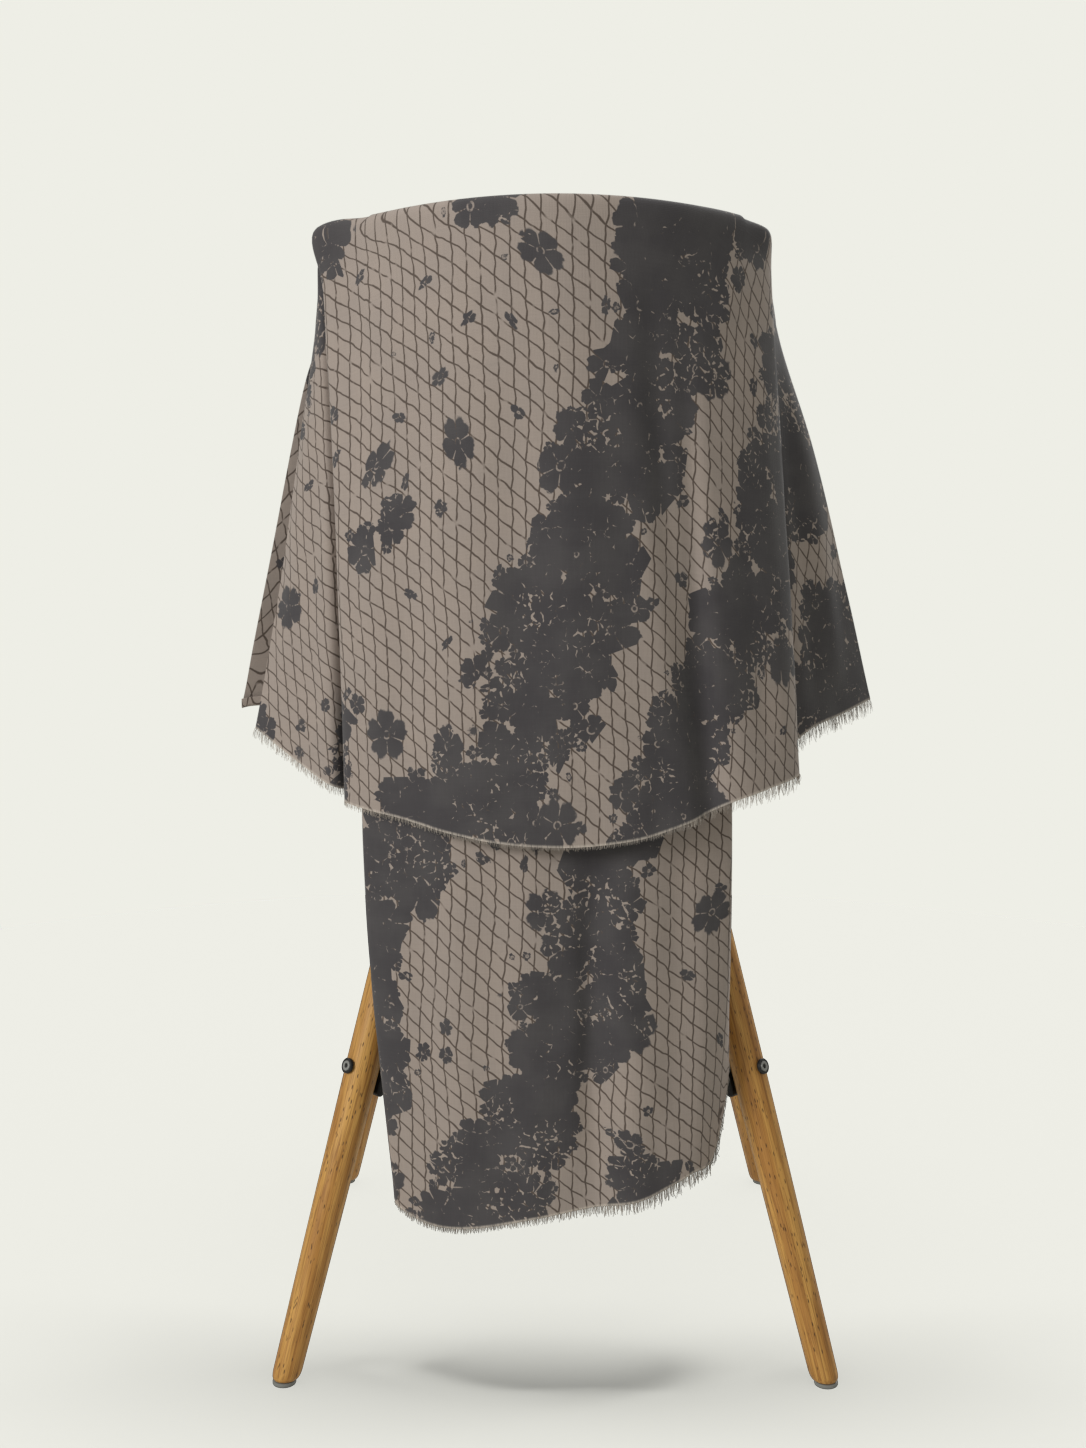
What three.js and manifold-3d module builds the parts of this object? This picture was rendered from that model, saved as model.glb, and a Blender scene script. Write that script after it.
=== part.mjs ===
import * as THREE from "three";
import { mergeVertices } from "three/addons/utils/BufferGeometryUtils.js";
import Module from "manifold-3d";

// A hijab shawl folded double over the back of a shell side chair.
// Millimetres, +Z up, the floor at z = 0. The chair faces +Y, so the side that the shawl
// hangs down on faces -Y. The origin is on the floor under the middle of the chair.

// Cloth
const CLOTH = 1.6;            // thickness of every cloth wall
const SEAM = 0.35;            // space between two pieces that touch
const CREST_INNER = 4.2;      // the inner layer's radius over the shell's top edge
const CREST_OUTER = 6.9;      // the outer layer's radius over the same edge
const FOLD_TURN = 2.2;        // radius of the rolled fold at the foot of the seat side
const FRINGE_BAND = 2.6;      // height of the woven band that the strands grow from
const FRINGE_SEAM = 0.8;      // how far under the hem that band begins
const FRINGE_THICK = 1.2;     // thickness of the band and its strands
const STRAND_SWAY = 2.2;      // how far apart two strands' ends may lean
const STRAND_TAPER = 0.35;    // how much narrower a strand is on each side at its end
const LIP = 8;                // how far below the crest line a layer's turn over it begins

// Chair
const SHELL = 5.0;            // thickness of the moulded shell
const FOOT_X = 200;           // feet, from the middle
const FOOT_Y = 190;
const SPLAY_X = 0.245;        // how far a leg leans in for each millimetre of height
const SPLAY_Y = 0.25;
const BOLT_Z = 222;           // height at which the bolts cross the legs
const GLIDE_RADIUS = 8.5;
const GLIDE_HEIGHT = 3.0;
const STRUT_WIDTH = 17;
const STRUT_THICK = 4.5;
const HUB_RADIUS = 38;
const HUB_GAP = 15;           // how far from the middle the struts end under the hub plate
const HUB_THICK = 5;
const HUB_Z = 302;            // underside of the hub plate
const LEG_AT_BOLT = 12.7;     // a leg's radius where the bolt crosses it
const TAB_REACH = 18.5;       // how far a strut's tab reaches above and below the bolt
const LEG_SIDES = 16;

const wasm = await Module();
wasm.setup();

// Small vector helpers on plain arrays
const add = (a, b, k = 1) => a.map((value, i) => value + b[i] * k);
const sub = (a, b) => a.map((value, i) => value - b[i]);
const dot = (a, b) => a[0] * b[0] + a[1] * b[1] + a[2] * b[2];
const cross = (a, b) => [
  a[1] * b[2] - a[2] * b[1],
  a[2] * b[0] - a[0] * b[2],
  a[0] * b[1] - a[1] * b[0],
];
const unit = (a) => a.map((value) => value / Math.hypot(...a));
const lerp = (a, b, t) => a + (b - a) * t;

/** Smooth value at t (0 to 1) through a row of numbers or points. */
function through(row, t) {
  const last = row.length - 1;
  const x = Math.min(Math.max(t, 0), 1) * last;
  const i = Math.min(Math.floor(x), last - 1);
  const f = x - i;
  const at = (k) => row[Math.min(Math.max(k, 0), last)];
  const mix = (p, a, b, q) => {
    const m0 = (b - p) / 2;
    const m1 = (q - a) / 2;
    const f2 = f * f;
    const f3 = f2 * f;
    return (2 * f3 - 3 * f2 + 1) * a + (f3 - 2 * f2 + f) * m0
      + (3 * f2 - 2 * f3) * b + (f3 - f2) * m1;
  };
  if (typeof row[0] === "number") return mix(at(i - 1), at(i), at(i + 1), at(i + 2));
  return row[0].map((_, k) => mix(at(i - 1)[k], at(i)[k], at(i + 1)[k], at(i + 2)[k]));
}

/** Geometry from a list of points and a list of triangles, turned to face out. */
function solid(points, triangles) {
  let volume = 0;
  for (const [a, b, c] of triangles) {
    volume += dot(points[a], cross(points[b], points[c]));
  }
  const faces = volume < 0 ? triangles.map(([a, b, c]) => [a, c, b]) : triangles;
  const geometry = new THREE.BufferGeometry();
  geometry.setAttribute("position", new THREE.Float32BufferAttribute(points.flat(), 3));
  geometry.setIndex(faces.flat());
  geometry.computeVertexNormals();
  return geometry;
}

/** Unit normals of a grid of points, averaged over the kept cells round each point. */
function gridNormals(grid, keep) {
  const normals = grid.map((row) => row.map(() => [0, 0, 0]));
  for (let i = 0; i < grid.length - 1; i += 1) {
    for (let j = 0; j < grid[0].length - 1; j += 1) {
      if (!keep(i, j)) continue;
      const a = sub(grid[i + 1][j + 1], grid[i][j]);
      const b = sub(grid[i + 1][j], grid[i][j + 1]);
      const n = unit(cross(a, b));
      for (const [p, q] of [[i, j], [i + 1, j], [i, j + 1], [i + 1, j + 1]]) {
        normals[p][q] = add(normals[p][q], n);
      }
    }
  }
  return normals.map((row) => row.map((n) => (Math.hypot(...n) > 0 ? unit(n) : n)));
}

/** Closed wall of even thickness round a grid of points; cells that keep() drops stay open. */
function wall(grid, thick, keep = () => true) {
  const rows = grid.length;
  const cols = grid[0].length;
  const kept = (i, j) => i >= 0 && j >= 0 && i < rows - 1 && j < cols - 1 && keep(i, j);
  const normals = gridNormals(grid, kept);
  const points = [];
  const index = new Map();
  const id = (i, j, side) => {
    const key = (i * cols + j) * 2 + side;
    if (!index.has(key)) {
      index.set(key, points.length);
      points.push(add(grid[i][j], normals[i][j], side === 0 ? thick / 2 : -thick / 2));
    }
    return index.get(key);
  };
  const triangles = [];
  const quad = (a, b, c, d) => triangles.push([a, b, c], [a, c, d]);
  for (let i = 0; i < rows - 1; i += 1) {
    for (let j = 0; j < cols - 1; j += 1) {
      if (!kept(i, j)) continue;
      const p = [[i, j], [i, j + 1], [i + 1, j + 1], [i + 1, j]];
      quad(id(...p[0], 0), id(...p[1], 0), id(...p[2], 0), id(...p[3], 0));
      quad(id(...p[0], 1), id(...p[3], 1), id(...p[2], 1), id(...p[1], 1));
      const beside = [kept(i - 1, j), kept(i, j + 1), kept(i + 1, j), kept(i, j - 1)];
      beside.forEach((there, k) => {
        if (there) return;
        const [a, b] = [p[k], p[(k + 1) % 4]];
        quad(id(...b, 0), id(...a, 0), id(...a, 1), id(...b, 1));
      });
    }
  }
  return solid(points, triangles);
}

/** Solid from closed rings of equal count, each one above the last, with capped ends. */
function ringSolid(rings) {
  const count = rings[0].length;
  const points = rings.flat();
  const triangles = [];
  for (let r = 0; r < rings.length - 1; r += 1) {
    for (let k = 0; k < count; k += 1) {
      const a = r * count + k;
      const b = r * count + (k + 1) % count;
      triangles.push([a, b, b + count], [a, b + count, a + count]);
    }
  }
  const middle = (ring) => ring.reduce((sum, p) => add(sum, p, 1 / count), [0, 0, 0]);
  const foot = points.push(middle(rings[0])) - 1;
  const head = points.push(middle(rings[rings.length - 1])) - 1;
  const top = (rings.length - 1) * count;
  for (let k = 0; k < count; k += 1) {
    triangles.push([foot, (k + 1) % count, k]);
    triangles.push([head, top + k, top + (k + 1) % count]);
  }
  return solid(points, triangles);
}

/** The same geometry as a solid that can be joined or cut. */
function toSolid(geometry) {
  const bare = geometry.clone();
  bare.deleteAttribute("normal");
  if (bare.getAttribute("uv")) bare.deleteAttribute("uv");
  const merged = mergeVertices(bare, 1e-4);
  return new wasm.Manifold(new wasm.Mesh({
    numProp: 3,
    vertProperties: new Float32Array(merged.getAttribute("position").array),
    triVerts: new Uint32Array(merged.getIndex().array),
  }));
}

/** Several overlapping geometries joined into one closed body. */
function joined(geometries) {
  let whole = toSolid(geometries[0]);
  for (const geometry of geometries.slice(1)) whole = whole.add(toSolid(geometry));
  const mesh = whole.getMesh();
  const geometry = new THREE.BufferGeometry();
  const places = new THREE.BufferAttribute(new Float32Array(mesh.vertProperties), 3);
  geometry.setAttribute("position", places);
  geometry.setIndex(new THREE.BufferAttribute(new Uint32Array(mesh.triVerts), 1));
  geometry.computeVertexNormals();
  return geometry;
}

/** Geometry moved so that its own x, y, z run along three axes from a point. */
function placed(geometry, axes, point) {
  const matrix = new THREE.Matrix4().makeBasis(...axes.map((a) => new THREE.Vector3(...a)));
  matrix.setPosition(...point);
  return geometry.applyMatrix4(matrix);
}

// The shell: one station a row, from the top edge of the back round to the seat's front.
// Named columns: y and z on the middle line, then x, y and z of the rim.
const SHELL_STATIONS = [
  [-206.0, 843, 128, -143, 840],
  [-205.6, 832, 143, -127, 829],
  [-205.0, 812, 147, -121, 808],
  [-203.7, 784, 149, -114, 780],
  [-201.0, 735, 162, -99, 735],
  [-198.0, 694, 177, -86, 692],
  [-193.0, 648, 189, -76, 648],
  [-186.0, 600, 197, -69, 598],
  [-171.0, 535, 203, -62, 540],
  [-148.0, 482, 208, -48, 506],
  [-108.0, 450, 211, -14, 488],
  [-50.0, 436, 213, 36, 480],
  [20.0, 432, 212, 82, 476],
  [95.0, 434, 206, 130, 468],
  [160.0, 438, 192, 172, 454],
  [202.0, 431, 172, 199, 437],
  [217.5, 416, 160, 209, 420],
];
const BACK_STATIONS = 9;
const SHELL_ACROSS = 16;
const SHELL_ROWS = 32;

/** Point of the shell's middle surface: u from -1 to 1 across, v from 0 to 1 down the length. */
function shellPoint(u, v) {
  const [y, z, rimX, rimY, rimZ] = through(SHELL_STATIONS, v);
  return [rimX * u, lerp(y, rimY, u * u), lerp(z, rimZ, u * u)];
}

/** Share of the shell's length, between two shares, where test() turns from true to false. */
function findShare(low, high, test) {
  for (let n = 0; n < 40; n += 1) {
    const middle = (low + high) / 2;
    if (test(middle)) low = middle;
    else high = middle;
  }
  return (low + high) / 2;
}

/** Point of the shell's middle surface at x, by share of the length. */
const shellAt = (x, v) => shellPoint(x / through(SHELL_STATIONS, v)[2], v);
const BACK_SHARE = (BACK_STATIONS - 1) / (SHELL_STATIONS.length - 1);

/** Height of the seat's underside above a place on the floor. */
function seatUnderside(x, y) {
  const height = (px, py) => {
    const v = findShare(BACK_SHARE, 1, (share) => shellAt(px, share)[1] < py);
    return shellAt(px, v)[2];
  };
  const slopeX = (height(x + 1, y) - height(x - 1, y)) / 2;
  const slopeY = (height(x, y + 1) - height(x, y - 1)) / 2;
  return height(x, y) - (SHELL / 2) * Math.hypot(1, slopeX, slopeY) - SEAM;
}

/** Point in front of the back's seat side, at x and a height, some way off its face. */
function beforeBack(x, z, off) {
  const step = 0.001;
  const v = findShare(step, BACK_SHARE * 1.12, (share) => shellAt(x, share)[2] > z);
  const along = sub(shellAt(x + 1, v), shellAt(x - 1, v));
  const down = sub(shellAt(x, v + step), shellAt(x, v - step));
  const n = unit(cross(along, down));
  const level = n[0] ** 2 + n[1] ** 2;
  const k = ((n[1] > 0 ? 1 : -1) * (SHELL / 2 + off)) / level;
  return add(shellAt(x, v), [n[0], n[1], 0], k);
}

/** Point on the line that the shell's top edge follows, by x. */
function crestPoint(x) {
  const [y, z, rimX, rimY, rimZ] = SHELL_STATIONS[0];
  const share = (x / rimX) ** 2;
  return [x, lerp(y, rimY, share), lerp(z, rimZ, share)];
}

// Outer layer, one fold line a row from the left selvedge to the right one.
// Named columns: where it crosses the back, how wide it crosses, a point half way down the
// fall and its end at the hem. A line that hangs beyond the shell's side also has a point
// and a foot on the seat side, and the others lie along the shell there.
const OUTER_FOLDS = [
  { name: "left edge", over: [-172.6, -98, 780], span: 4.5,
    fall: [-204.5, -84, 604], hem: [-229, -88, 475], back: [-188.5, -76, 735], foot: [-247.5, -42, 489] },
  { name: "left wing", over: [-167.5, -102.7, 795], span: 8.0,
    fall: [-187, -109, 608], hem: [-193, -116, 453], back: [-172, -76, 735], foot: [-221, -39, 504] },
  { name: "left wing root", over: [-164.4, -107.8, 809], span: 9.0,
    fall: [-167, -131, 617], hem: [-165, -141, 439], back: [-161, -78, 735], foot: [-197, -45, 520] },
  { name: "left tuck", over: [-161.5, -111, 822], span: 6.4,
    fall: [-154.5, -126, 622], hem: [-150, -131, 434], back: [-153, -86, 735], foot: [-180, -66, 526] },
  { name: "left fold", over: [-162, -119, 833], span: 6.6,
    fall: [-157.5, -151, 640], hem: [-152, -161, 431], back: [-152, -97, 735], foot: [-160, -88, 530] },
  { name: "left shoulder", over: [-138, -132.5, 838], span: 6.9,
    fall: [-138, -168, 634], hem: [-134, -176, 427], foot: [-136] },
  { name: "left panel", over: [-112], span: CREST_OUTER,
    fall: [-114, -183, 628], hem: [-110, -188, 423], foot: [-108] },
  { name: "left middle", over: [-76], span: CREST_OUTER,
    fall: [-77, -202, 625], hem: [-74, -204, 415], foot: [-74] },
  { name: "middle left", over: [-38], span: CREST_OUTER,
    fall: [-36, -213, 622], hem: [-32, -214, 409], foot: [-37] },
  { name: "middle", over: [0], span: CREST_OUTER,
    fall: [9, -218, 620], hem: [13, -218, 408], foot: [0] },
  { name: "middle right", over: [36], span: CREST_OUTER,
    fall: [49, -213, 620], hem: [58, -216, 413], foot: [38] },
  { name: "valley brow", over: [64], span: CREST_OUTER,
    fall: [80, -202, 620], hem: [92, -208, 423], foot: [69] },
  { name: "valley", over: [80], span: CREST_OUTER,
    fall: [95, -191, 620], hem: [108, -197, 429], foot: [87] },
  { name: "right brow", over: [96], span: CREST_OUTER,
    fall: [110, -190, 620], hem: [125, -199, 437], foot: [105] },
  { name: "right panel", over: [118], span: CREST_OUTER,
    fall: [135, -176, 620], hem: [150, -188, 444], foot: [128] },
  { name: "right fold", over: [146, -124, 833], span: 5.8,
    fall: [166, -144, 618], hem: [176, -162, 451], back: [146, -101, 735], foot: [160, -88, 530] },
  { name: "right tuck", over: [150, -113, 818], span: 6.5,
    fall: [155, -136, 622], hem: [160, -147, 456], back: [149, -87, 735], foot: [180, -66, 526] },
  { name: "right wing root", over: [149.7, -107, 806], span: 7.4,
    fall: [171, -121, 634], hem: [187, -128, 478], back: [155, -79, 735], foot: [197, -45, 520] },
  { name: "right wing", over: [154.5, -99.5, 794], span: 5.5,
    fall: [188, -102, 650], hem: [217, -98, 487], back: [163, -76, 735], foot: [219, -39, 506] },
  { name: "right edge", over: [158, -97, 781], span: 4.3,
    fall: [203, -82, 648], hem: [244, -68, 495], back: [171, -81, 735], foot: [237, -50, 492] },
];

// Inner layer, from the turned-in left side to the small corner turned back at the right.
// Named columns: x where it crosses the back, half way down the fall, hem, x of its foot.
const INNER_FOLDS = [
  { name: "left return", over: -118, fall: [-122, -151, 428], hem: [-98, -151, 140], foot: -121 },
  { name: "left fold", over: -111, fall: [-139, -166, 428], hem: [-119, -165, 130], foot: -112 },
  { name: "left panel", over: -92, fall: [-110, -181, 425], hem: [-90, -183, 119], foot: -92 },
  { name: "left middle", over: -60, fall: [-68, -196, 425], hem: [-55, -197, 123], foot: -60 },
  { name: "middle", over: -22, fall: [-20, -205, 425], hem: [-11, -205, 134], foot: -22 },
  { name: "soft valley", over: 14, fall: [27, -200, 425], hem: [25, -200, 140], foot: 14 },
  { name: "right middle", over: 44, fall: [56, -203, 425], hem: [61, -205, 147], foot: 44 },
  { name: "right panel", over: 82, fall: [95, -187, 426], hem: [98, -190, 161], foot: 82 },
  { name: "right fold", over: 103, fall: [125, -173, 429], hem: [117, -172, 171], foot: 103 },
  { name: "right corner", over: 110, fall: [123, -164, 432], hem: [128, -155, 240], foot: 110 },
  { name: "right return", over: 117, fall: [108, -160, 434], hem: [102, -151, 252], foot: 117 },
];

// How far each layer's middle lies off the shell's seat side, at the top and the foot, and
// the height of its foot
const FOLD_LAP = 5;
const OUTER_OFF = { top: 4.8, low: 6.4, foot: 531 };
const INNER_OFF = { top: 1.9, low: 2.0, foot: 531 + FOLD_LAP + 2 * SEAM };

const BETWEEN = 2;            // spaces that each gap between two fold lines is parted into
const FALL_ROWS = 10;         // rows from a hem up to the crest
const ARCH_ROWS = 6;          // rows round the crest
const BACK_ROWS = 6;          // rows down the seat side

/** Horizontal direction from the fall to the seat side where a line crosses the back at x. */
function acrossBack(x) {
  const [y, , rimX, rimY] = SHELL_STATIONS[0];
  const widest = rimX * 1.15;
  const held = Math.min(Math.max(x, -widest), widest);
  return unit([-(2 * (rimY - y) * held) / rimX ** 2, 1, 0]);
}

/** Point level with the start or end of a line's turn over the crest. */
const lipPoint = (over, reach) => add(add(over, acrossBack(over[0]), reach), [0, 0, -LIP]);

/** Points down the seat side, as one flat row of numbers. */
function seatSide(over, span, foot, back, offs) {
  const far = lipPoint(over, span);
  const free = back && [far, back, through([back, foot], 0.5), foot];
  const points = [];
  for (let n = 1; n <= BACK_ROWS; n += 1) {
    const t = n / BACK_ROWS;
    const height = lerp(far[2], offs.foot, t);
    const off = lerp(offs.top, offs.low, t);
    points.push(free ? through(free, t) : beforeBack(lerp(over[0], foot[0], t), height, off));
  }
  return points.flat();
}

/** Rows of a line of cloth: up the fall, round the crest and down the seat side. */
function drapedLine({ over, span, fall, hem, down }) {
  const d = acrossBack(over[0]);
  const near = lipPoint(over, -span);
  const line = [];
  for (let n = 0; n < FALL_ROWS; n += 1) line.push(through([hem, fall, near], n / FALL_ROWS));
  line.push(near);
  for (let n = 0; n <= ARCH_ROWS; n += 1) {
    const turn = (Math.PI * n) / ARCH_ROWS;
    line.push(add(add(over, d, -span * Math.cos(turn)), [0, 0, span * Math.sin(turn)]));
  }
  line.push(lipPoint(over, span));
  for (let n = 0; n < BACK_ROWS; n += 1) line.push(down.slice(3 * n, 3 * n + 3));
  return line;
}

/** Fold lines with the points between them, each field taken smoothly across the cloth. */
function spread(folds, fields, ready) {
  const count = (folds.length - 1) * BETWEEN;
  const lines = [];
  for (let j = 0; j <= count; j += 1) {
    const line = {};
    for (const field of fields) line[field] = through(folds.map((f) => f[field]), j / count);
    lines.push(ready(line));
  }
  return lines;
}

/** Grid with its rows along the cloth and its columns across it. */
const upright = (lines) => lines[0].map((_, i) => lines.map((line) => line[i]));

/** The grid with its last row turned under towards the shell in a rolled fold. */
function withFootFold(grid) {
  const feet = grid[grid.length - 1];
  const inward = feet.map((_, j) => {
    const step = sub(feet[Math.min(j + 1, feet.length - 1)], feet[Math.max(j - 1, 0)]);
    return unit([step[1], -step[0], 0]);
  });
  const turned = [0.25, 0.5, 0.75, 1].map((share) => feet.map((foot, j) => {
    const turn = Math.PI * share;
    const along = add(foot, inward[j], FOLD_TURN * (1 - Math.cos(turn)));
    return add(along, [0, 0, -FOLD_TURN * Math.sin(turn)]);
  }));
  const lap = turned[turned.length - 1].map((p) => add(p, [0, 0, FOLD_LAP]));
  return [...grid, ...turned, lap];
}

/** Crossing point held to the crest's own line wherever the cloth lies on the crest. */
const onCrest = (over) => (Math.abs(over[0]) < SHELL_STATIONS[0][2] ? crestPoint(over[0]) : over);

const outerLines = spread(
  OUTER_FOLDS.map((fold) => {
    const over = onCrest(fold.over);
    const down = seatSide(over, fold.span, fold.foot, fold.back, OUTER_OFF);
    return { ...fold, over, down };
  }),
  ["over", "span", "fall", "hem", "down"],
  (line) => drapedLine({ ...line, over: onCrest(line.over) }),
);
const outerGrid = withFootFold(upright(outerLines));

const innerLines = spread(
  INNER_FOLDS.map((fold) => {
    const over = crestPoint(fold.over);
    return { ...fold, down: seatSide(over, CREST_INNER, [fold.foot], null, INNER_OFF) };
  }),
  ["over", "fall", "hem", "down"],
  (line) => drapedLine({ ...line, over: crestPoint(line.over), span: CREST_INNER }),
);
const innerGrid = upright(innerLines);

/** Even, repeatable scatter from 0 to 1. */
const scatter = (n) => {
  const x = Math.sin(n * 12.9898 + 4.1414) * 43758.5453;
  return x - Math.floor(x);
};

/** Point at a share of a hem's own straight steps. */
function alongHem(hem, t) {
  const x = Math.min(t, 0.9999) * (hem.length - 1);
  const i = Math.floor(x);
  return add(hem[i].map((value) => value * (1 - (x - i))), hem[i + 1], x - i);
}

/** Band with strands below it, following part of a hem just under the cloth's edge. */
function fringe(hem, from, to, strands, length, seed) {
  const count = strands * 2 + 1;
  const rows = [[], [], []];
  for (let j = 0; j < count; j += 1) {
    const p = alongHem(hem, lerp(from, to, j / (count - 1)));
    const strand = Math.floor((j + 1) / 2);
    const reach = length * (0.6 + 0.75 * scatter(strand * 7 + seed));
    const taper = j % 2 === 1 ? STRAND_TAPER : -STRAND_TAPER;
    const sway = STRAND_SWAY * (scatter(strand * 3 + seed) - 0.5) + taper;
    rows[0].push(add(p, [0, 0, -FRINGE_SEAM]));
    rows[1].push(add(p, [0, 0, -FRINGE_SEAM - FRINGE_BAND]));
    rows[2].push(add(p, [sway, sway * 0.3, -FRINGE_SEAM - FRINGE_BAND - reach]));
  }
  return wall(rows, FRINGE_THICK, (i, j) => i === 0 || j % 2 === 1);
}

// Fringe pieces. Named columns: name, layer, first and last share of the hem, strands, length.
const FRINGES = [
  ["outer_fringe_left_wing", "outer", 0.003, 0.108, 9, 6.0],
  ["outer_fringe_left", "outer", 0.226, 0.386, 13, 5.0],
  ["outer_fringe_middle", "outer", 0.391, 0.552, 13, 4.0],
  ["outer_fringe_right", "outer", 0.558, 0.772, 13, 6.5],
  ["outer_fringe_right_wing", "outer", 0.893, 0.997, 8, 8.5],
  ["inner_fringe_left", "inner", 0.113, 0.345, 10, 4.5],
  ["inner_fringe_right", "inner", 0.353, 0.765, 17, 6.5],
];

const LEGS = [
  ["near_left", -1, -1],
  ["near_right", 1, -1],
  ["far_left", -1, 1],
  ["far_right", 1, 1],
];
// A leg's radius by height; its top ring is raised to the seat
const LEG_PROFILE = [
  [3.3, 7.6], [5.5, 9.4], [10, 10.3], [40, 10.7], [130, 11.8], [BOLT_Z, LEG_AT_BOLT], [340, 13.3],
];
const LEG_TOP = [400, 12.8];

/** Middle of a leg at a height. */
const legAxis = (sx, sy, z) => [sx * (FOOT_X - SPLAY_X * z), sy * (FOOT_Y - SPLAY_Y * z), z];

/** Directions of a leg: up along it, outward from the chair's middle, and sideways. */
function legFrame(sx, sy) {
  const up = unit([-sx * SPLAY_X, -sy * SPLAY_Y, 1]);
  const [x, y] = legAxis(sx, sy, BOLT_Z);
  const away = unit([x, y, 0]);
  const out = unit(add(away, up, -dot(away, up)));
  return { up, out, side: cross(up, out) };
}

/** Round tapered leg, cut level at its foot and along the seat's underside at its top. */
function legGeometry(sx, sy) {
  const { out, side } = legFrame(sx, sy);
  const rise = [-sx * SPLAY_X, -sy * SPLAY_Y, 1];
  const ring = ([z, radius]) => Array.from({ length: LEG_SIDES }, (_, k) => {
    const turn = (2 * Math.PI * k) / LEG_SIDES;
    const across = add(legAxis(sx, sy, z), out, radius * Math.cos(turn));
    const p = add(across, side, radius * Math.sin(turn));
    return add(p, rise, z - p[2]);
  });
  const top = ring(LEG_TOP).map((p) => {
    let q = p;
    for (let n = 0; n < 12; n += 1) q = add(q, rise, seatUnderside(Math.abs(q[0]), q[1]) - q[2]);
    return q;
  });
  return ringSolid([...LEG_PROFILE.map(ring), top]);
}

/** Turned body: radius and height pairs spun round an axis that starts at a point. */
function latheOn(profile, axis, point, sides) {
  const shape = new THREE.LatheGeometry(profile.map(([r, h]) => new THREE.Vector2(r, h)), sides);
  const across = unit(cross(axis, Math.abs(axis[2]) > 0.9 ? [1, 0, 0] : [0, 0, 1]));
  return placed(shape, [across, axis, cross(across, axis)], point);
}

/** Flat bar from one point to another, its width lying along sideways. */
function bar(from, to, width, thick, sideways) {
  const along = unit(sub(to, from));
  const across = unit(sub(sideways, along.map((value) => value * dot(sideways, along))));
  const box = new THREE.BoxGeometry(Math.hypot(...sub(to, from)), width, thick);
  return placed(box, [along, across, cross(along, across)],
    from.map((value, i) => (value + to[i]) / 2));
}

/** Flat steel strut: a tab on the leg, the rising bar and a flange under the hub plate. */
function strutGeometry(sx, sy) {
  const { out, side } = legFrame(sx, sy);
  const inset = LEG_AT_BOLT + SEAM + STRUT_THICK / 2;
  const low = add(legAxis(sx, sy, BOLT_Z - TAB_REACH), out, -inset);
  const high = add(legAxis(sx, sy, BOLT_Z + TAB_REACH), out, -inset);
  const inward = unit([low[0], low[1], 0]);
  const level = HUB_Z - STRUT_THICK / 2 - SEAM;
  const bend = [inward[0] * HUB_RADIUS, inward[1] * HUB_RADIUS, level];
  const end = [inward[0] * HUB_GAP, inward[1] * HUB_GAP, level];
  return joined([
    bar(low, high, STRUT_WIDTH, STRUT_THICK, side),
    bar(low, bend, STRUT_WIDTH, STRUT_THICK, side),
    bar(add(bend, inward, 2), end, STRUT_WIDTH, STRUT_THICK, side),
  ]);
}

const paint = (colour, roughness, metalness = 0) => new THREE.MeshStandardMaterial({
  color: colour,
  roughness,
  metalness,
});
const whole = new THREE.Group();
const put = (name, geometry, material) => {
  const mesh = new THREE.Mesh(geometry, material);
  mesh.name = name;
  whole.add(mesh);
};

const printed = { outer: paint(0x8d8178, 0.92), inner: paint(0x857a72, 0.92) };
put("shawl_outer_layer", wall(outerGrid, CLOTH), printed.outer);
put("shawl_inner_layer", wall(innerGrid, CLOTH), printed.inner);
FRINGES.forEach(([name, layer, from, to, strands, length], n) => {
  const hem = layer === "outer" ? outerGrid[0] : innerGrid[0];
  put(name, fringe(hem, from, to, strands, length, n * 31), paint(0xb4aa9f, 0.95));
});

const shellGrid = Array.from({ length: SHELL_ROWS + 1 }, (_, i) => Array.from(
  { length: SHELL_ACROSS + 1 },
  (__, j) => shellPoint((2 * j) / SHELL_ACROSS - 1, i / SHELL_ROWS),
));
put("seat_shell", wall(shellGrid, SHELL), paint(0xc9c8c4, 0.5));

const oak = { color: 0xb98a58, roughness: 0.55 };
const boltProfile = [[0, 0], [5.5, 0], [5.5, 2.3], [4.9, 3], [2.8, 3], [2.8, 1.3], [0, 1.3]];
const glideProfile = [[0, 0], [GLIDE_RADIUS, 0], [GLIDE_RADIUS, GLIDE_HEIGHT], [0, GLIDE_HEIGHT]];
for (const [place, sx, sy] of LEGS) {
  put(`leg_${place}`, legGeometry(sx, sy), paint(oak.color, oak.roughness));
  put(`glide_${place}`, latheOn(glideProfile, [0, 0, 1], legAxis(sx, sy, 0), 20),
    paint(0x8f8f8d, 0.6));
  const { out } = legFrame(sx, sy);
  const seatOfBolt = add(legAxis(sx, sy, BOLT_Z), out, LEG_AT_BOLT + SEAM);
  put(`bolt_${place}`, latheOn(boltProfile, out, seatOfBolt, 16), paint(0x2b2b2c, 0.4, 0.8));
  put(`strut_${place}`, strutGeometry(sx, sy), paint(0x1d1d1e, 0.45, 0.6));
}
const hubProfile = [[0, 0], [HUB_RADIUS, 0], [HUB_RADIUS, HUB_THICK], [0, HUB_THICK]];
put("hub_plate", latheOn(hubProfile, [0, 0, 1], [0, 0, HUB_Z], 28), paint(0x1d1d1e, 0.45, 0.6));

export default whole;
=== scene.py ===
"""Scene of a printed hijab shawl that lies folded double over the back of a shell side chair.

Lengths in the tables are millimetres, as in the part's source. MM turns them into metres when
a mesh is made. The floor is z = 0, the chair faces +Y and both falls of the shawl face -Y.
"""

import logging
import math
from dataclasses import dataclass
from enum import Enum

import bpy
import numpy as np
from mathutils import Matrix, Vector, noise


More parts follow.
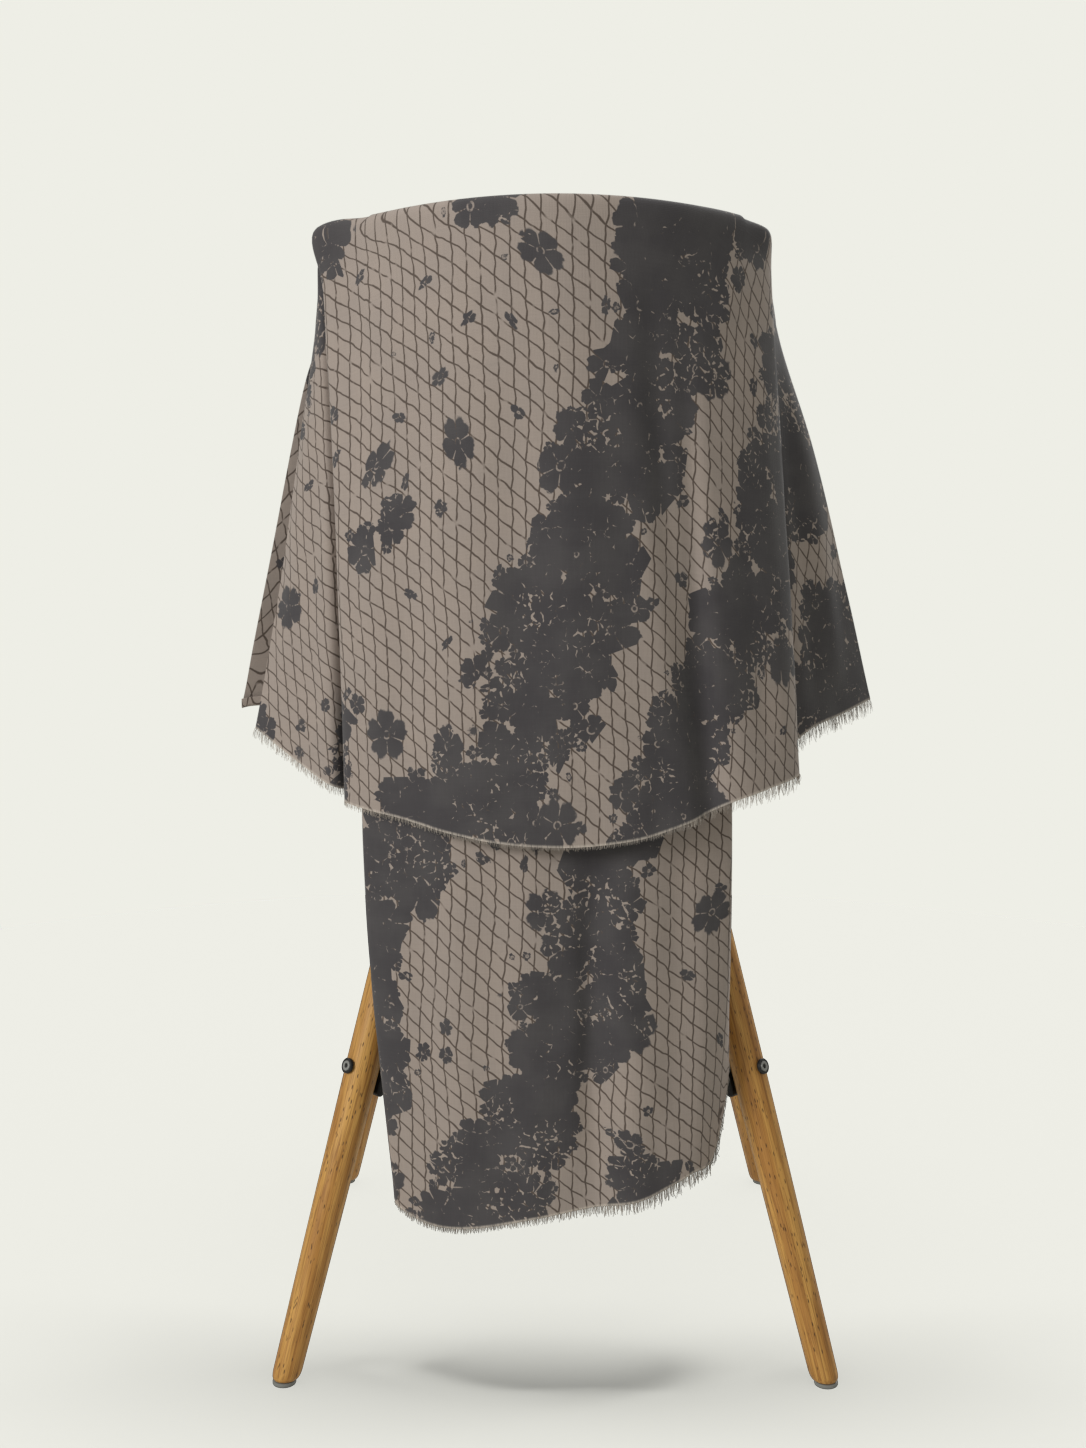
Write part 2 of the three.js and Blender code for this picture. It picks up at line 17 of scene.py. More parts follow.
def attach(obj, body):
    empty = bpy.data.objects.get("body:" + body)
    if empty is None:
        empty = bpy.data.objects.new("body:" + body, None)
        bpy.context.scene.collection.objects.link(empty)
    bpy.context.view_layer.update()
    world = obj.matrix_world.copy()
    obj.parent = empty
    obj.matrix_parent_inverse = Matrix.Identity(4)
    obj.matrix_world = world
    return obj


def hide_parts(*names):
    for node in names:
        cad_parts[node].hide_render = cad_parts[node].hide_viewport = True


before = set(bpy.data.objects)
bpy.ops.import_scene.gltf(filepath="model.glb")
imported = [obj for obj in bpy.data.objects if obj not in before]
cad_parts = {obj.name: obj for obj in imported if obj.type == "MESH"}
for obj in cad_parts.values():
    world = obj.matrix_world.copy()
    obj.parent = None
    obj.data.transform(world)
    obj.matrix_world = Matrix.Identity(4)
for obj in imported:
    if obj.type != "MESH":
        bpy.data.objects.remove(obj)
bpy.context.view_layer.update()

MM = 0.001
PHOTO_HEIGHT = 1448
Colour = tuple[float, float, float, float]

log = logging.getLogger("shawl")


class Face(Enum):
    """The two faces of the draped shawl that creases are placed on."""

    FALL = "fall"
    SEAT = "seat"


class Corner(Enum):
    """The chair's four corners, as the signs of x and y."""

    NEAR_LEFT = (-1, -1)
    NEAR_RIGHT = (1, -1)
    FAR_LEFT = (-1, 1)
    FAR_RIGHT = (1, 1)

    @property
    def place(self) -> str:
        """The corner's name as the CAD nodes spell it."""
        return self.name.lower()


def through(row: np.ndarray, t: np.ndarray | float) -> np.ndarray:
    """Take smooth values from a row of numbers or points.

    Args:
        row: Values or points along the first axis.
        t: Shares of the row's length, from 0 to 1.

    Returns:
        One value or point for each share.
    """
    row = np.asarray(row, float)
    last = len(row) - 1
    x = np.clip(np.asarray(t, float), 0, 1) * last
    i = np.minimum(x.astype(int), last - 1)
    f = (x - i).reshape(x.shape + (1,) * (row.ndim - 1))
    before, start, end, after = (row[np.clip(i + k, 0, last)] for k in (-1, 0, 1, 2))
    leave = (end - before) / 2
    arrive = (after - start) / 2
    return ((2 * f**3 - 3 * f**2 + 1) * start + (f**3 - 2 * f**2 + f) * leave
            + (3 * f**2 - 2 * f**3) * end + (f**3 - f**2) * arrive)


def unit(vectors: np.ndarray) -> np.ndarray:
    """Vectors of length one, along the last axis."""
    return vectors / np.maximum(np.linalg.norm(vectors, axis=-1, keepdims=True), 1e-9)


def ease(x: np.ndarray | float, low: float, high: float) -> np.ndarray:
    """Soft step from 0 at low to 1 at high."""
    t = np.clip((np.asarray(x, float) - low) / (high - low), 0, 1)
    return t * t * (3 - 2 * t)


def grid_normals(grid: np.ndarray) -> np.ndarray:
    """Unit normals of a grid of points."""
    return unit(np.cross(np.gradient(grid, axis=0), np.gradient(grid, axis=1)))


def grid_noise(grid: np.ndarray, reach: tuple[float, float, float], seed: float) -> np.ndarray:
    """Take soft noise at each point of a grid.

    Args:
        grid: Points in millimetres.
        reach: Size of the noise along x, y and z, in millimetres.
        seed: Shift that picks another stretch of the same noise.

    Returns:
        Values from about -1 to 1, one a point.
    """
    flat = (grid / np.array(reach) + seed).reshape(-1, 3)
    return np.array([noise.noise(Vector(p)) for p in flat]).reshape(grid.shape[:-1])


def make_piece(
    name: str,
    points: np.ndarray,
    faces: list[tuple[int, ...]],
    slot: str,
    node: str,
    materials: tuple[bpy.types.Material, ...],
    sharp_above: float = 50,
) -> bpy.types.Object:
    """Make one mesh object of the part that rides on the root body.

    Args:
        name: The piece's name.
        points: Vertices in millimetres.
        faces: Vertex numbers of each face.
        slot: The record's material slot; not used.
        node: The CAD node that the piece stands for, or an empty name.
        materials: The piece's materials.
        sharp_above: Angle in degrees past which an edge is shaded sharp.

    Returns:
        The new object.
    """
    mesh = bpy.data.meshes.new(name)
    mesh.from_pydata((np.asarray(points) * MM).tolist(), [], faces)
    mesh.validate()
    mesh.shade_smooth()
    mesh.set_sharp_from_angle(angle=math.radians(sharp_above))
    for material in materials:
        mesh.materials.append(material)
    piece = bpy.data.objects.new(name, mesh)
    bpy.context.scene.collection.objects.link(piece)
    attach(piece, "root")
    if node:
        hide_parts(node)
    log.info("%s: %d faces", name, len(faces))
    return piece


def circle(sides: int, first: np.ndarray | list[int], second: np.ndarray | list[int]) -> np.ndarray:
    """Points of a circle of radius one, from the first direction round to the second and on."""
    turns = np.linspace(0, 2 * math.pi, sides, endpoint=False)
    return np.outer(np.cos(turns), first) + np.outer(np.sin(turns), second)


def between(row: np.ndarray, known: np.ndarray, at: np.ndarray) -> np.ndarray:
    """Points of a row taken straight between its known places, one for each place asked for."""
    return np.stack([np.interp(at, known, values) for values in row.T], axis=-1)


def set_flat_map(piece: bpy.types.Object, flat: np.ndarray) -> None:
    """Give a piece its place on the flat cloth, in metres, as its UV map.

    Args:
        piece: The piece that gets the map.
        flat: Each vertex's place on the flat cloth, in millimetres.
    """
    layer = piece.data.uv_layers.new(name="FlatCloth")
    corners = np.zeros(len(piece.data.loops), np.int32)
    piece.data.loops.foreach_get("vertex_index", corners)
    layer.uv.foreach_set("vector", (flat[corners] * MM).astype(np.float32).ravel())


def set_number(piece: bpy.types.Object, name: str, values: np.ndarray) -> None:
    """Give each vertex of a piece a number that its material reads."""
    data = piece.data.attributes.new(name, "FLOAT", "POINT").data
    data.foreach_set("value", np.asarray(values, np.float32).ravel())


def set_places(piece: bpy.types.Object, name: str, places: np.ndarray) -> None:
    """Give each vertex of a piece a place in metres that its material reads."""
    data = piece.data.attributes.new(name, "FLOAT_VECTOR", "POINT").data
    data.foreach_set("vector", (np.asarray(places) * MM).astype(np.float32).ravel())


def thick_sheet(grid: np.ndarray, thick: float) -> tuple[np.ndarray, list[tuple[int, ...]]]:
    """Close a thin wall round a grid of points.

    Args:
        grid: Middle surface, rows by columns by 3.
        thick: Thickness of the wall.

    Returns:
        The front points and then the back points, and the faces.
    """
    rows, cols = grid.shape[:2]
    off = grid_normals(grid) * thick / 2
    points = np.concatenate([(grid + off).reshape(-1, 3), (grid - off).reshape(-1, 3)])
    count = rows * cols
    faces = []
    for i in range(rows - 1):
        for j in range(cols - 1):
            a, b = i * cols + j, i * cols + j + 1
            c, d = b + cols, a + cols
            faces.append((a, d, c, b))
            faces.append((a + count, b + count, c + count, d + count))
    round_edge = [i * cols for i in range(rows)]
    round_edge += [(rows - 1) * cols + j for j in range(1, cols)]
    round_edge += [i * cols + cols - 1 for i in range(rows - 2, -1, -1)]
    round_edge += list(range(cols - 2, 0, -1))
    for a, b in zip(round_edge, round_edge[1:] + round_edge[:1]):
        faces.append((a, a + count, b + count, b))
    return points, faces


def ring_faces(rings: int, sides: int, start: int = 0, capped: bool = True) -> list[tuple[int, ...]]:
    """Faces between closed rings of equal count, with flat caps at both ends.

    Args:
        rings: How many rings there are.
        sides: Points in each ring.
        start: Number of the first ring's first point.
        capped: Whether both ends are closed.

    Returns:
        The vertex numbers of each face.
    """
    faces = []
    for r in range(rings - 1):
        for k in range(sides):
            a, b = start + r * sides + k, start + r * sides + (k + 1) % sides
            faces.append((a, b, b + sides, a + sides))
    if capped:
        top = start + (rings - 1) * sides
        faces.append(tuple(range(start + sides - 1, start - 1, -1)))
        faces.append(tuple(range(top, top + sides)))
    return faces


# The chair's shell, one station a row from the top edge of the back round to the seat's front:
# y and z on the middle line, then x, y and z of the rim
SHELL_STATIONS = np.array([
    [-206.0, 843, 128, -143, 840],
    [-205.6, 832, 143, -127, 829],
    [-205.0, 812, 147, -121, 808],
    [-203.7, 784, 149, -114, 780],
    [-201.0, 735, 162, -99, 735],
    [-198.0, 694, 177, -86, 692],
    [-193.0, 648, 189, -76, 648],
    [-186.0, 600, 197, -69, 598],
    [-171.0, 535, 203, -62, 540],
    [-148.0, 482, 208, -48, 506],
    [-108.0, 450, 211, -14, 488],
    [-50.0, 436, 213, 36, 480],
    [20.0, 432, 212, 82, 476],
    [95.0, 434, 206, 130, 468],
    [160.0, 438, 192, 172, 454],
    [202.0, 431, 172, 199, 437],
    [217.5, 416, 160, 209, 420],
])


@dataclass(frozen=True)
class ShellForm:
    """The moulded shell's middle surface, which the shawl and the legs are fitted to."""

    thick: float = 5.0
    back_stations: int = 9
    below_back: float = 1.12
    past_rim: float = 1.15

    def point(self, u: np.ndarray, v: np.ndarray) -> np.ndarray:
        """Point at u from -1 to 1 across and v from 0 to 1 down the shell's length.

        Args:
            u: Places across.
            v: Shares of the length.

        Returns:
            One point for each pair.
        """
        y, z, rim_x, rim_y, rim_z = np.moveaxis(through(SHELL_STATIONS, v), -1, 0)
        bend = u * u
        return np.stack([rim_x * u, y + (rim_y - y) * bend, z + (rim_z - z) * bend], axis=-1)

    def at(self, x: float, v: float) -> np.ndarray:
        """Point at x, some share down the shell's length."""
        return self.point(np.asarray(x / through(SHELL_STATIONS, v)[2]), np.asarray(v))

    def before_back(self, x: float, z: float, off: float) -> np.ndarray:
        """Find a point in front of the back's seat side.

        Args:
            x: Place across the back.
            z: Height.
            off: Distance from the shell's face.

        Returns:
            The point in millimetres.
        """
        step = 0.001
        low, high = step, (self.back_stations - 1) / (len(SHELL_STATIONS) - 1) * self.below_back
        for _ in range(30):
            middle = (low + high) / 2
            if self.at(x, middle)[2] > z:
                low = middle
            else:
                high = middle
        along = self.at(x + 1, low) - self.at(x - 1, low)
        down = self.at(x, low + step) - self.at(x, low - step)
        n = unit(np.cross(along, down))
        n = n if n[1] > 0 else -n
        level = np.array([n[0], n[1], 0])
        return self.at(x, low) + level * (self.thick / 2 + off) / (level @ level)

    def crest(self, x: np.ndarray) -> np.ndarray:
        """Points on the line that the shell's top edge follows.

        Args:
            x: Places across the top edge.

        Returns:
            One point for each place.
        """
        y, z, rim_x, rim_y, rim_z = SHELL_STATIONS[0]
        share = (x / rim_x) ** 2
        return np.stack([x, y + (rim_y - y) * share, z + (rim_z - z) * share], axis=-1)

    def across(self, x: np.ndarray) -> np.ndarray:
        """Level directions from the fall to the seat side where cloth crosses the top edge.

        Args:
            x: Places across the top edge.

        Returns:
            One direction for each place.
        """
        y, _, rim_x, rim_y, _ = SHELL_STATIONS[0]
        widest = rim_x * self.past_rim
        held = np.clip(x, -widest, widest)
        lean = -(2 * (rim_y - y) * held) / rim_x**2
        return unit(np.stack([lean, np.ones_like(lean), np.zeros_like(lean)], axis=-1))


@dataclass(frozen=True)
class FoldLine:
    """One line of cloth from the hem over the chair's top edge to the foot on the seat side."""

    name: str
    over: tuple[float, ...]
    span: float
    fall: tuple[float, float, float]
    hem: tuple[float, float, float]
    foot: tuple[float, ...]
    back: tuple[float, float, float] | None = None


CREST_OUTER = 6.9
CREST_INNER = 4.2

# The outer layer from its left selvedge to its right one
OUTER_FOLDS = (
    FoldLine("left edge", (-172.6, -98, 780), 4.5, (-204.5, -84, 604), (-229, -88, 475),
             (-247.5, -42, 489), (-188.5, -76, 735)),
    FoldLine("left wing", (-167.5, -102.7, 795), 8.0, (-187, -109, 608), (-193, -116, 453),
             (-221, -39, 504), (-172, -76, 735)),
    FoldLine("left wing root", (-164.4, -107.8, 809), 9.0, (-167, -131, 617), (-165, -141, 439),
             (-197, -45, 520), (-161, -78, 735)),
    FoldLine("left tuck", (-161.5, -111, 822), 6.4, (-154.5, -126, 622), (-150, -131, 434),
             (-180, -66, 526), (-153, -86, 735)),
    FoldLine("left fold", (-162, -119, 833), 6.6, (-157.5, -151, 640), (-152, -161, 431),
             (-160, -88, 530), (-152, -97, 735)),
    FoldLine("left shoulder", (-138, -132.5, 838), 6.9, (-138, -168, 634), (-134, -176, 427), (-136,)),
    FoldLine("left panel", (-112,), CREST_OUTER, (-114, -183, 628), (-110, -188, 423), (-108,)),
    FoldLine("left middle", (-76,), CREST_OUTER, (-77, -202, 625), (-74, -204, 415), (-74,)),
    FoldLine("middle left", (-38,), CREST_OUTER, (-36, -213, 622), (-32, -214, 409), (-37,)),
    FoldLine("middle", (0,), CREST_OUTER, (9, -218, 620), (13, -218, 408), (0,)),
    FoldLine("middle right", (36,), CREST_OUTER, (49, -213, 620), (58, -216, 413), (38,)),
    FoldLine("valley brow", (64,), CREST_OUTER, (80, -202, 620), (92, -208, 423), (69,)),
    FoldLine("valley", (80,), CREST_OUTER, (95, -191, 620), (108, -197, 429), (87,)),
    FoldLine("right brow", (96,), CREST_OUTER, (110, -190, 620), (125, -199, 437), (105,)),
    FoldLine("right panel", (118,), CREST_OUTER, (135, -176, 620), (150, -188, 444), (128,)),
    FoldLine("right fold", (146, -124, 833), 5.8, (166, -144, 618), (176, -162, 451),
             (160, -88, 530), (146, -101, 735)),
    FoldLine("right tuck", (150, -113, 818), 6.5, (155, -136, 622), (160, -147, 456),
             (180, -66, 526), (149, -87, 735)),
    FoldLine("right wing root", (149.7, -107, 806), 7.4, (171, -121, 634), (187, -128, 478),
             (197, -45, 520), (155, -79, 735)),
    FoldLine("right wing", (154.5, -99.5, 794), 5.5, (188, -102, 650), (217, -98, 487),
             (219, -39, 506), (163, -76, 735)),
    FoldLine("right edge", (158, -97, 781), 4.3, (203, -82, 648), (244, -68, 495),
             (237, -50, 492), (171, -81, 735)),
)

# The inner layer from its turned-in left side to the small corner turned back at the right
INNER_FOLDS = (
    FoldLine("left return", (-118,), CREST_INNER, (-122, -151, 428), (-98, -151, 140), (-121,)),
    FoldLine("left fold", (-111,), CREST_INNER, (-139, -166, 428), (-119, -165, 130), (-112,)),
    FoldLine("left panel", (-92,), CREST_INNER, (-110, -181, 425), (-90, -183, 119), (-92,)),
    FoldLine("left middle", (-60,), CREST_INNER, (-68, -196, 425), (-55, -197, 123), (-60,)),
    FoldLine("middle", (-22,), CREST_INNER, (-20, -205, 425), (-11, -205, 134), (-22,)),
    FoldLine("soft valley", (14,), CREST_INNER, (27, -200, 425), (25, -200, 140), (14,)),
    FoldLine("right middle", (44,), CREST_INNER, (56, -203, 425), (61, -205, 147), (44,)),
    FoldLine("right panel", (82,), CREST_INNER, (95, -187, 426), (98, -190, 161), (82,)),
    FoldLine("right fold", (103,), CREST_INNER, (125, -173, 429), (117, -172, 171), (103,)),
    FoldLine("right corner", (110,), CREST_INNER, (123, -164, 432), (128, -155, 240), (110,)),
    FoldLine("right return", (117,), CREST_INNER, (108, -160, 434), (102, -151, 252), (117,)),
)


@dataclass(frozen=True)
class Crease:
    """One soft trough (depth below 0) or ridge (above 0) from one place to another.

    The places are x and z on the named face; bow is how far the middle of the line is pushed
    sideways.
    """

    face: Face
    start: tuple[float, float]
    end: tuple[float, float]
    width: float
    depth: float
    bow: float = 0.0

    def lift(self, x: np.ndarray, z: np.ndarray) -> np.ndarray:
        """Work out how far the crease moves the cloth out along its normal.

        Args:
            x: Places across, one a point.
            z: Heights, one a point.

        Returns:
            Millimetres outward, one a point.
        """
        start, end = np.array(self.start), np.array(self.end)
        run = end - start
        length = np.hypot(*run)
        along = ((x - start[0]) * run[0] + (z - start[1]) * run[1]) / length**2
        aside = ((x - start[0]) * run[1] - (z - start[1]) * run[0]) / length
        aside = aside - self.bow * np.sin(np.pi * np.clip(along, 0, 1))
        fade = ease(along, -0.12, 0.28) * ease(-along, -1.12, -0.72)
        return self.depth * fade * np.exp(-((aside / self.width) ** 2))


def creases(face: Face, *rows: tuple[float, ...]) -> tuple[Crease, ...]:
    """Creases of one face, each row x and z of both ends, then width, depth and bow."""
    return tuple(Crease(face, row[0:2], row[2:4], *row[4:]) for row in rows)


OUTER_CREASES = creases(
    Face.FALL,
    # the long valley right of the middle and its two brows
    (62, 800, 112, 424, 11, -3.2, 6),
    (44, 790, 88, 430, 13, 1.6, 5),
    (84, 800, 134, 440, 10, 1.5, 4),
    # broad soft waves over the middle panel
    (8, 770, 20, 412, 26, 2.0, 3),
    (-30, 735, -26, 420, 17, -1.7, -4),
    (-64, 800, -74, 416, 20, 1.5, -5),
    (-98, 700, -104, 424, 14, -1.8, 2),
    (-126, 760, -128, 430, 12, 1.3, 0),
    (-2, 520, 42, 410, 12, -1.6, 3),
    (118, 700, 152, 446, 9, -1.7, -3),
    (138, 780, 166, 450, 8, 1.2, -2),
    # short drag lines that start at the two top corners
    (-152, 818, -96, 742, 7, 1.0, 5),
    (-146, 800, -112, 712, 6, -0.9, 4),
    (138, 822, 98, 752, 7, 1.0, -4),
    (134, 800, 116, 716, 6, -0.8, -3),
    # the wings
    (-176, 740, -206, 480, 8, 1.7, 4),
    (-172, 700, -182, 450, 7, -1.5, 2),
    (176, 730, 214, 500, 8, 1.5, -4),
    (168, 700, 196, 484, 7, -1.4, -2),
    # slight waves of the free hem
    (-52, 470, -50, 404, 10, 1.3, 0),
    (70, 480, 74, 410, 9, -1.4, 0),
    (-90, 480, -92, 412, 8, -1.1, 0),
) + creases(
    Face.SEAT,
    # where the cloth lies on the shell
    (-40, 820, -58, 545, 12, 1.5, 5),
    (18, 800, 30, 540, 10, 1.3, -4),
    (78, 815, 96, 545, 12, 1.6, 3),
    (-104, 800, -122, 545, 9, 1.2, -3),
    (-150, 740, -206, 520, 9, 1.6, 3),
    (150, 740, 204, 515, 9, 1.6, -3),
    (-170, 700, -190, 540, 6, -1.2, 0),
    (166, 700, 186, 540, 6, -1.2, 0),
)

INNER_CREASES = creases(
    Face.FALL,
    (26, 400, 30, 150, 9, -3.0, 3),
    (8, 410, 10, 150, 11, 1.8, -2),
    (46, 400, 56, 160, 12, 1.5, 4),
    (-44, 420, -34, 130, 16, -2.2, 3),
    (-74, 400, -64, 124, 13, 1.6, 2),
    (-100, 380, -88, 128, 9, -1.4, 0),
    (84, 410, 82, 165, 11, -1.6, -3),
    (104, 400, 106, 180, 8, 1.2, -2),
    (30, 330, 88, 190, 8, 1.2, 4),
    (22, 300, -38, 170, 9, 1.1, -4),
    (-16, 200, -14, 130, 8, 1.2, 0),
    (70, 220, 76, 150, 7, -1.2, 0),
)


@dataclass(frozen=True)
class Pull:
    """A soft local pull on the cloth: all that lies near a place moves a little way."""

    at: tuple[float, float, float]
    reach: float
    move: tuple[float, float, float]

    def shift(self, grid: np.ndarray) -> np.ndarray:
        """How far each point of a grid moves."""
        far = np.linalg.norm(grid - np.array(self.at), axis=-1, keepdims=True)
        return np.array(self.move) * np.exp(-((far / self.reach) ** 2))


# the stiff little ears where the cloth turns over the chair's two top corners, and the
# strip of the seat side that hangs out beyond the left wing
OUTER_PULLS = (
    Pull((-166, -119, 834), 22, (-7.5, 0, 2.0)),
    Pull((-150, -126, 846), 16, (0, 0, 2.6)),
    Pull((150, -124, 842), 15, (3.5, 0, 1.6)),
    Pull((-218, -52, 497), 20, (0, 0, -19)),
)


@dataclass
class ShawlLayer:
    """One layer of the shawl: a thin draped sheet with creases and a frayed hem."""

    name: str
    node: str
    slot: str
    folds: tuple[FoldLine, ...]
    creases: tuple[Crease, ...]
    seat_off: tuple[float, float]
    foot_height: float
    flat_start: float
    ripple: float
    thick: float = 0.7
    columns_a_fold: int = 12
    fall_rows: int = 84
    arch_rows: int = 10
    seat_rows: int = 46
    lip: float = 8.0
    seat_points: int = 6
    seat_ripple: float = 0.35
    broad_wave: tuple[float, float, float] = (46, 46, 150)
    fine_wave: tuple[float, float, float] = (21, 21, 60)
    calm_below_top: tuple[float, float] = (6, 70)
    turned_foot: float = 0.0
    foot_lap: float = 5.0
    pulls: tuple[Pull, ...] = ()
    form: ShellForm = ShellForm()

    def _seat_side(self, fold: FoldLine, over: np.ndarray) -> np.ndarray:
        """Points of a fold line down the seat side, at even shares of its height.

        Args:
            fold: The fold line.
            over: Where it crosses the chair's top edge.

        Returns:
            Points from just below the crossing down to the foot.
        """
        far = over + self.form.across(over[0:1])[0] * fold.span - [0, 0, self.lip]
        shares = np.arange(1, self.seat_points + 1) / self.seat_points
        if fold.back is not None:
            middle = through(np.array([fold.back, fold.foot]), 0.5)
            return through(np.array([far, fold.back, middle, fold.foot]), shares)
        points = []
        for t in shares:
            x = over[0] + (fold.foot[0] - over[0]) * t
            z = far[2] + (self.foot_height - far[2]) * t
            off = self.seat_off[0] + (self.seat_off[1] - self.seat_off[0]) * t
            points.append(self.form.before_back(x, z, off))
        return np.array(points)

    def _on_crest(self, over: np.ndarray) -> np.ndarray:
        """Crossing points, held to the chair's top edge wherever they lie on it."""
        on_edge = np.abs(over[:, 0:1]) < SHELL_STATIONS[0][2]
        return np.where(on_edge, self.form.crest(over[:, 0]), over)

    def middle_grid(self) -> np.ndarray:
        """Lay out the smooth drape without its creases.

        Returns:
            Points in millimetres, rows from the hem over the top to the foot, by columns.
        """
        listed = np.array([tuple(f.over) + (0,) * (3 - len(f.over)) for f in self.folds], float)
        overs = self._on_crest(listed)
        seats = np.array([self._seat_side(f, p) for f, p in zip(self.folds, overs)])
        u = np.linspace(0, 1, (len(self.folds) - 1) * self.columns_a_fold + 1)
        over = self._on_crest(through(overs, u))
        span = through(np.array([f.span for f in self.folds]), u)[:, None]
        hem = through(np.array([f.hem for f in self.folds]), u)
        fall = through(np.array([f.fall for f in self.folds]), u)
        seat = np.moveaxis(through(seats, u), 1, 0)
        across = self.form.across(over[:, 0])
        drop = np.array([0, 0, self.lip])
        near = over - across * span - drop
        far = over + across * span - drop
        rows = list(through(np.array([hem, fall, near]), np.linspace(0, 1, self.fall_rows)))
        for turn in np.linspace(0, math.pi, self.arch_rows + 1):
            rise = np.array([0, 0, 1]) * span * math.sin(turn)
            rows.append(over - across * span * math.cos(turn) + rise)
        rows += list(through(np.array([far, *seat]), np.linspace(0, 1, self.seat_rows)))
        return self._soften(np.array(rows))

    def _soften(self, grid: np.ndarray, rounds: int = 5) -> np.ndarray:
        """The grid with its rows eased into each other, its hem and foot kept."""
        for _ in range(rounds):
            grid[1:-1] = (grid[:-2] + 2 * grid[1:-1] + grid[2:]) / 4
        return grid

    def _with_turned_foot(self, grid: np.ndarray) -> np.ndarray:
        """The grid with its foot rolled under towards the shell and lapped up behind.

        Args:
            grid: Points in millimetres, the foot in the last row.

        Returns:
            The grid with the roll's rows added.
        """
        foot = grid[-1]
        step = np.gradient(foot, axis=0)
        inward = unit(np.stack([step[:, 1], -step[:, 0], np.zeros(len(foot))], axis=-1))
        rows = list(grid)
        for turn in np.linspace(0, math.pi, 9)[1:]:
            slide = inward * self.turned_foot * (1 - math.cos(turn))
            rows.append(foot + slide - [0, 0, self.turned_foot * math.sin(turn)])
        rows += [rows[-1] + [0, 0, rise] for rise in (self.foot_lap / 2, self.foot_lap)]
        return np.array(rows)

    def creased_grid(self) -> np.ndarray:
        """Add the creases and the cloth's slight unevenness to the smooth drape.

        Returns:
            Points in millimetres, rows by columns.
        """
        grid = self.middle_grid()
        normals = grid_normals(grid)
        on_fall = np.arange(len(grid)) < self.fall_rows + self.arch_rows // 2
        top = grid[..., 2].max(axis=0)
        below = top[None, :] - grid[..., 2]
        lift = np.zeros(grid.shape[:2])
        for crease in self.creases:
            side = on_fall if crease.face is Face.FALL else ~on_fall
            lift += crease.lift(grid[..., 0], grid[..., 2]) * side[:, None]
        uneven = grid_noise(grid, self.broad_wave, 3.1) + 0.5 * grid_noise(grid, self.fine_wave, 8.7)
        lift += uneven * np.where(on_fall, self.ripple, self.seat_ripple)[:, None]
        lift *= ease(below, *self.calm_below_top)
        outward = np.where(normals[..., 1] * np.where(on_fall, -1, 1)[:, None] > 0, 1.0, -1.0)
        # a pleat's hidden return turns its normal over, so the sign there follows its column
        lead = np.sign(np.median(outward[: self.fall_rows], axis=0))
        seat_lead = np.sign(np.median(outward[self.fall_rows + self.arch_rows:], axis=0))
        sign = np.where(on_fall[:, None], lead[None, :], seat_lead[None, :])
        grid = grid + normals * (lift * sign)[..., None]
        grid = grid + sum((pull.shift(grid) for pull in self.pulls), np.zeros_like(grid))
        return self._with_turned_foot(grid) if self.turned_foot else grid

    def flat_layout(
        self, grid: np.ndarray, stride: int = 6, rounds: int = 2500, give: float = 0.11
    ) -> np.ndarray:
        """Lay the draped grid out flat, so that the print keeps its true scale.

        A coarse copy of the grid is relaxed in the plane until its sides and diagonals have
        nearly the lengths that they have on the drape, and the rest is taken smoothly from it.

        Args:
            grid: The draped points.
            stride: Rows and columns from one coarse point to the next.
            rounds: Number of small corrections.
            give: Share of an error that one correction takes off each end.

        Returns:
            Places on the flat cloth in millimetres, rows by columns by 2.
        """
        rows, cols = grid.shape[:2]
        row_at = np.unique(np.append(np.arange(0, rows, stride), rows - 1))
        col_at = np.unique(np.append(np.arange(0, cols, stride), cols - 1))
        coarse = grid[np.ix_(row_at, col_at)]
        middle = len(col_at) // 2
        mid_row = np.searchsorted(row_at, self.fall_rows // 2)
        wide = np.cumsum(np.linalg.norm(np.diff(coarse[mid_row], axis=0), axis=1))
        wide = np.append(0, wide)
        wide -= wide[middle]
        down = np.linalg.norm(np.diff(coarse[:, middle - 3:middle + 4], axis=0), axis=2).mean(1)
        down = np.append(0, np.cumsum(down))
        flat = np.stack(np.broadcast_arrays(wide[None, :], down[:, None]), axis=-1).astype(float)
        links = (
            (np.s_[:, :-1], np.s_[:, 1:]),
            (np.s_[:-1, :], np.s_[1:, :]),
            (np.s_[:-1, :-1], np.s_[1:, 1:]),
            (np.s_[:-1, 1:], np.s_[1:, :-1]),
        )
        lengths = [np.linalg.norm(coarse[b] - coarse[a], axis=-1) for a, b in links]
        for _ in range(rounds):
            move = np.zeros_like(flat)
            for (a, b), length in zip(links, lengths):
                run = flat[b] - flat[a]
                now = np.maximum(np.linalg.norm(run, axis=-1), 1e-6)
                pull = run * ((now - length) / now * give)[..., None]
                move[a] += pull
                move[b] -= pull
            flat += move
        row_share = np.interp(np.arange(rows), row_at, np.linspace(0, 1, len(row_at)))
        col_share = np.interp(np.arange(cols), col_at, np.linspace(0, 1, len(col_at)))
        fine = through(np.moveaxis(through(flat, row_share), 1, 0), col_share)
        fine = np.moveaxis(fine, 0, 1)
        fine[..., 1] += self.flat_start - fine[0, cols // 2, 1]
        return fine

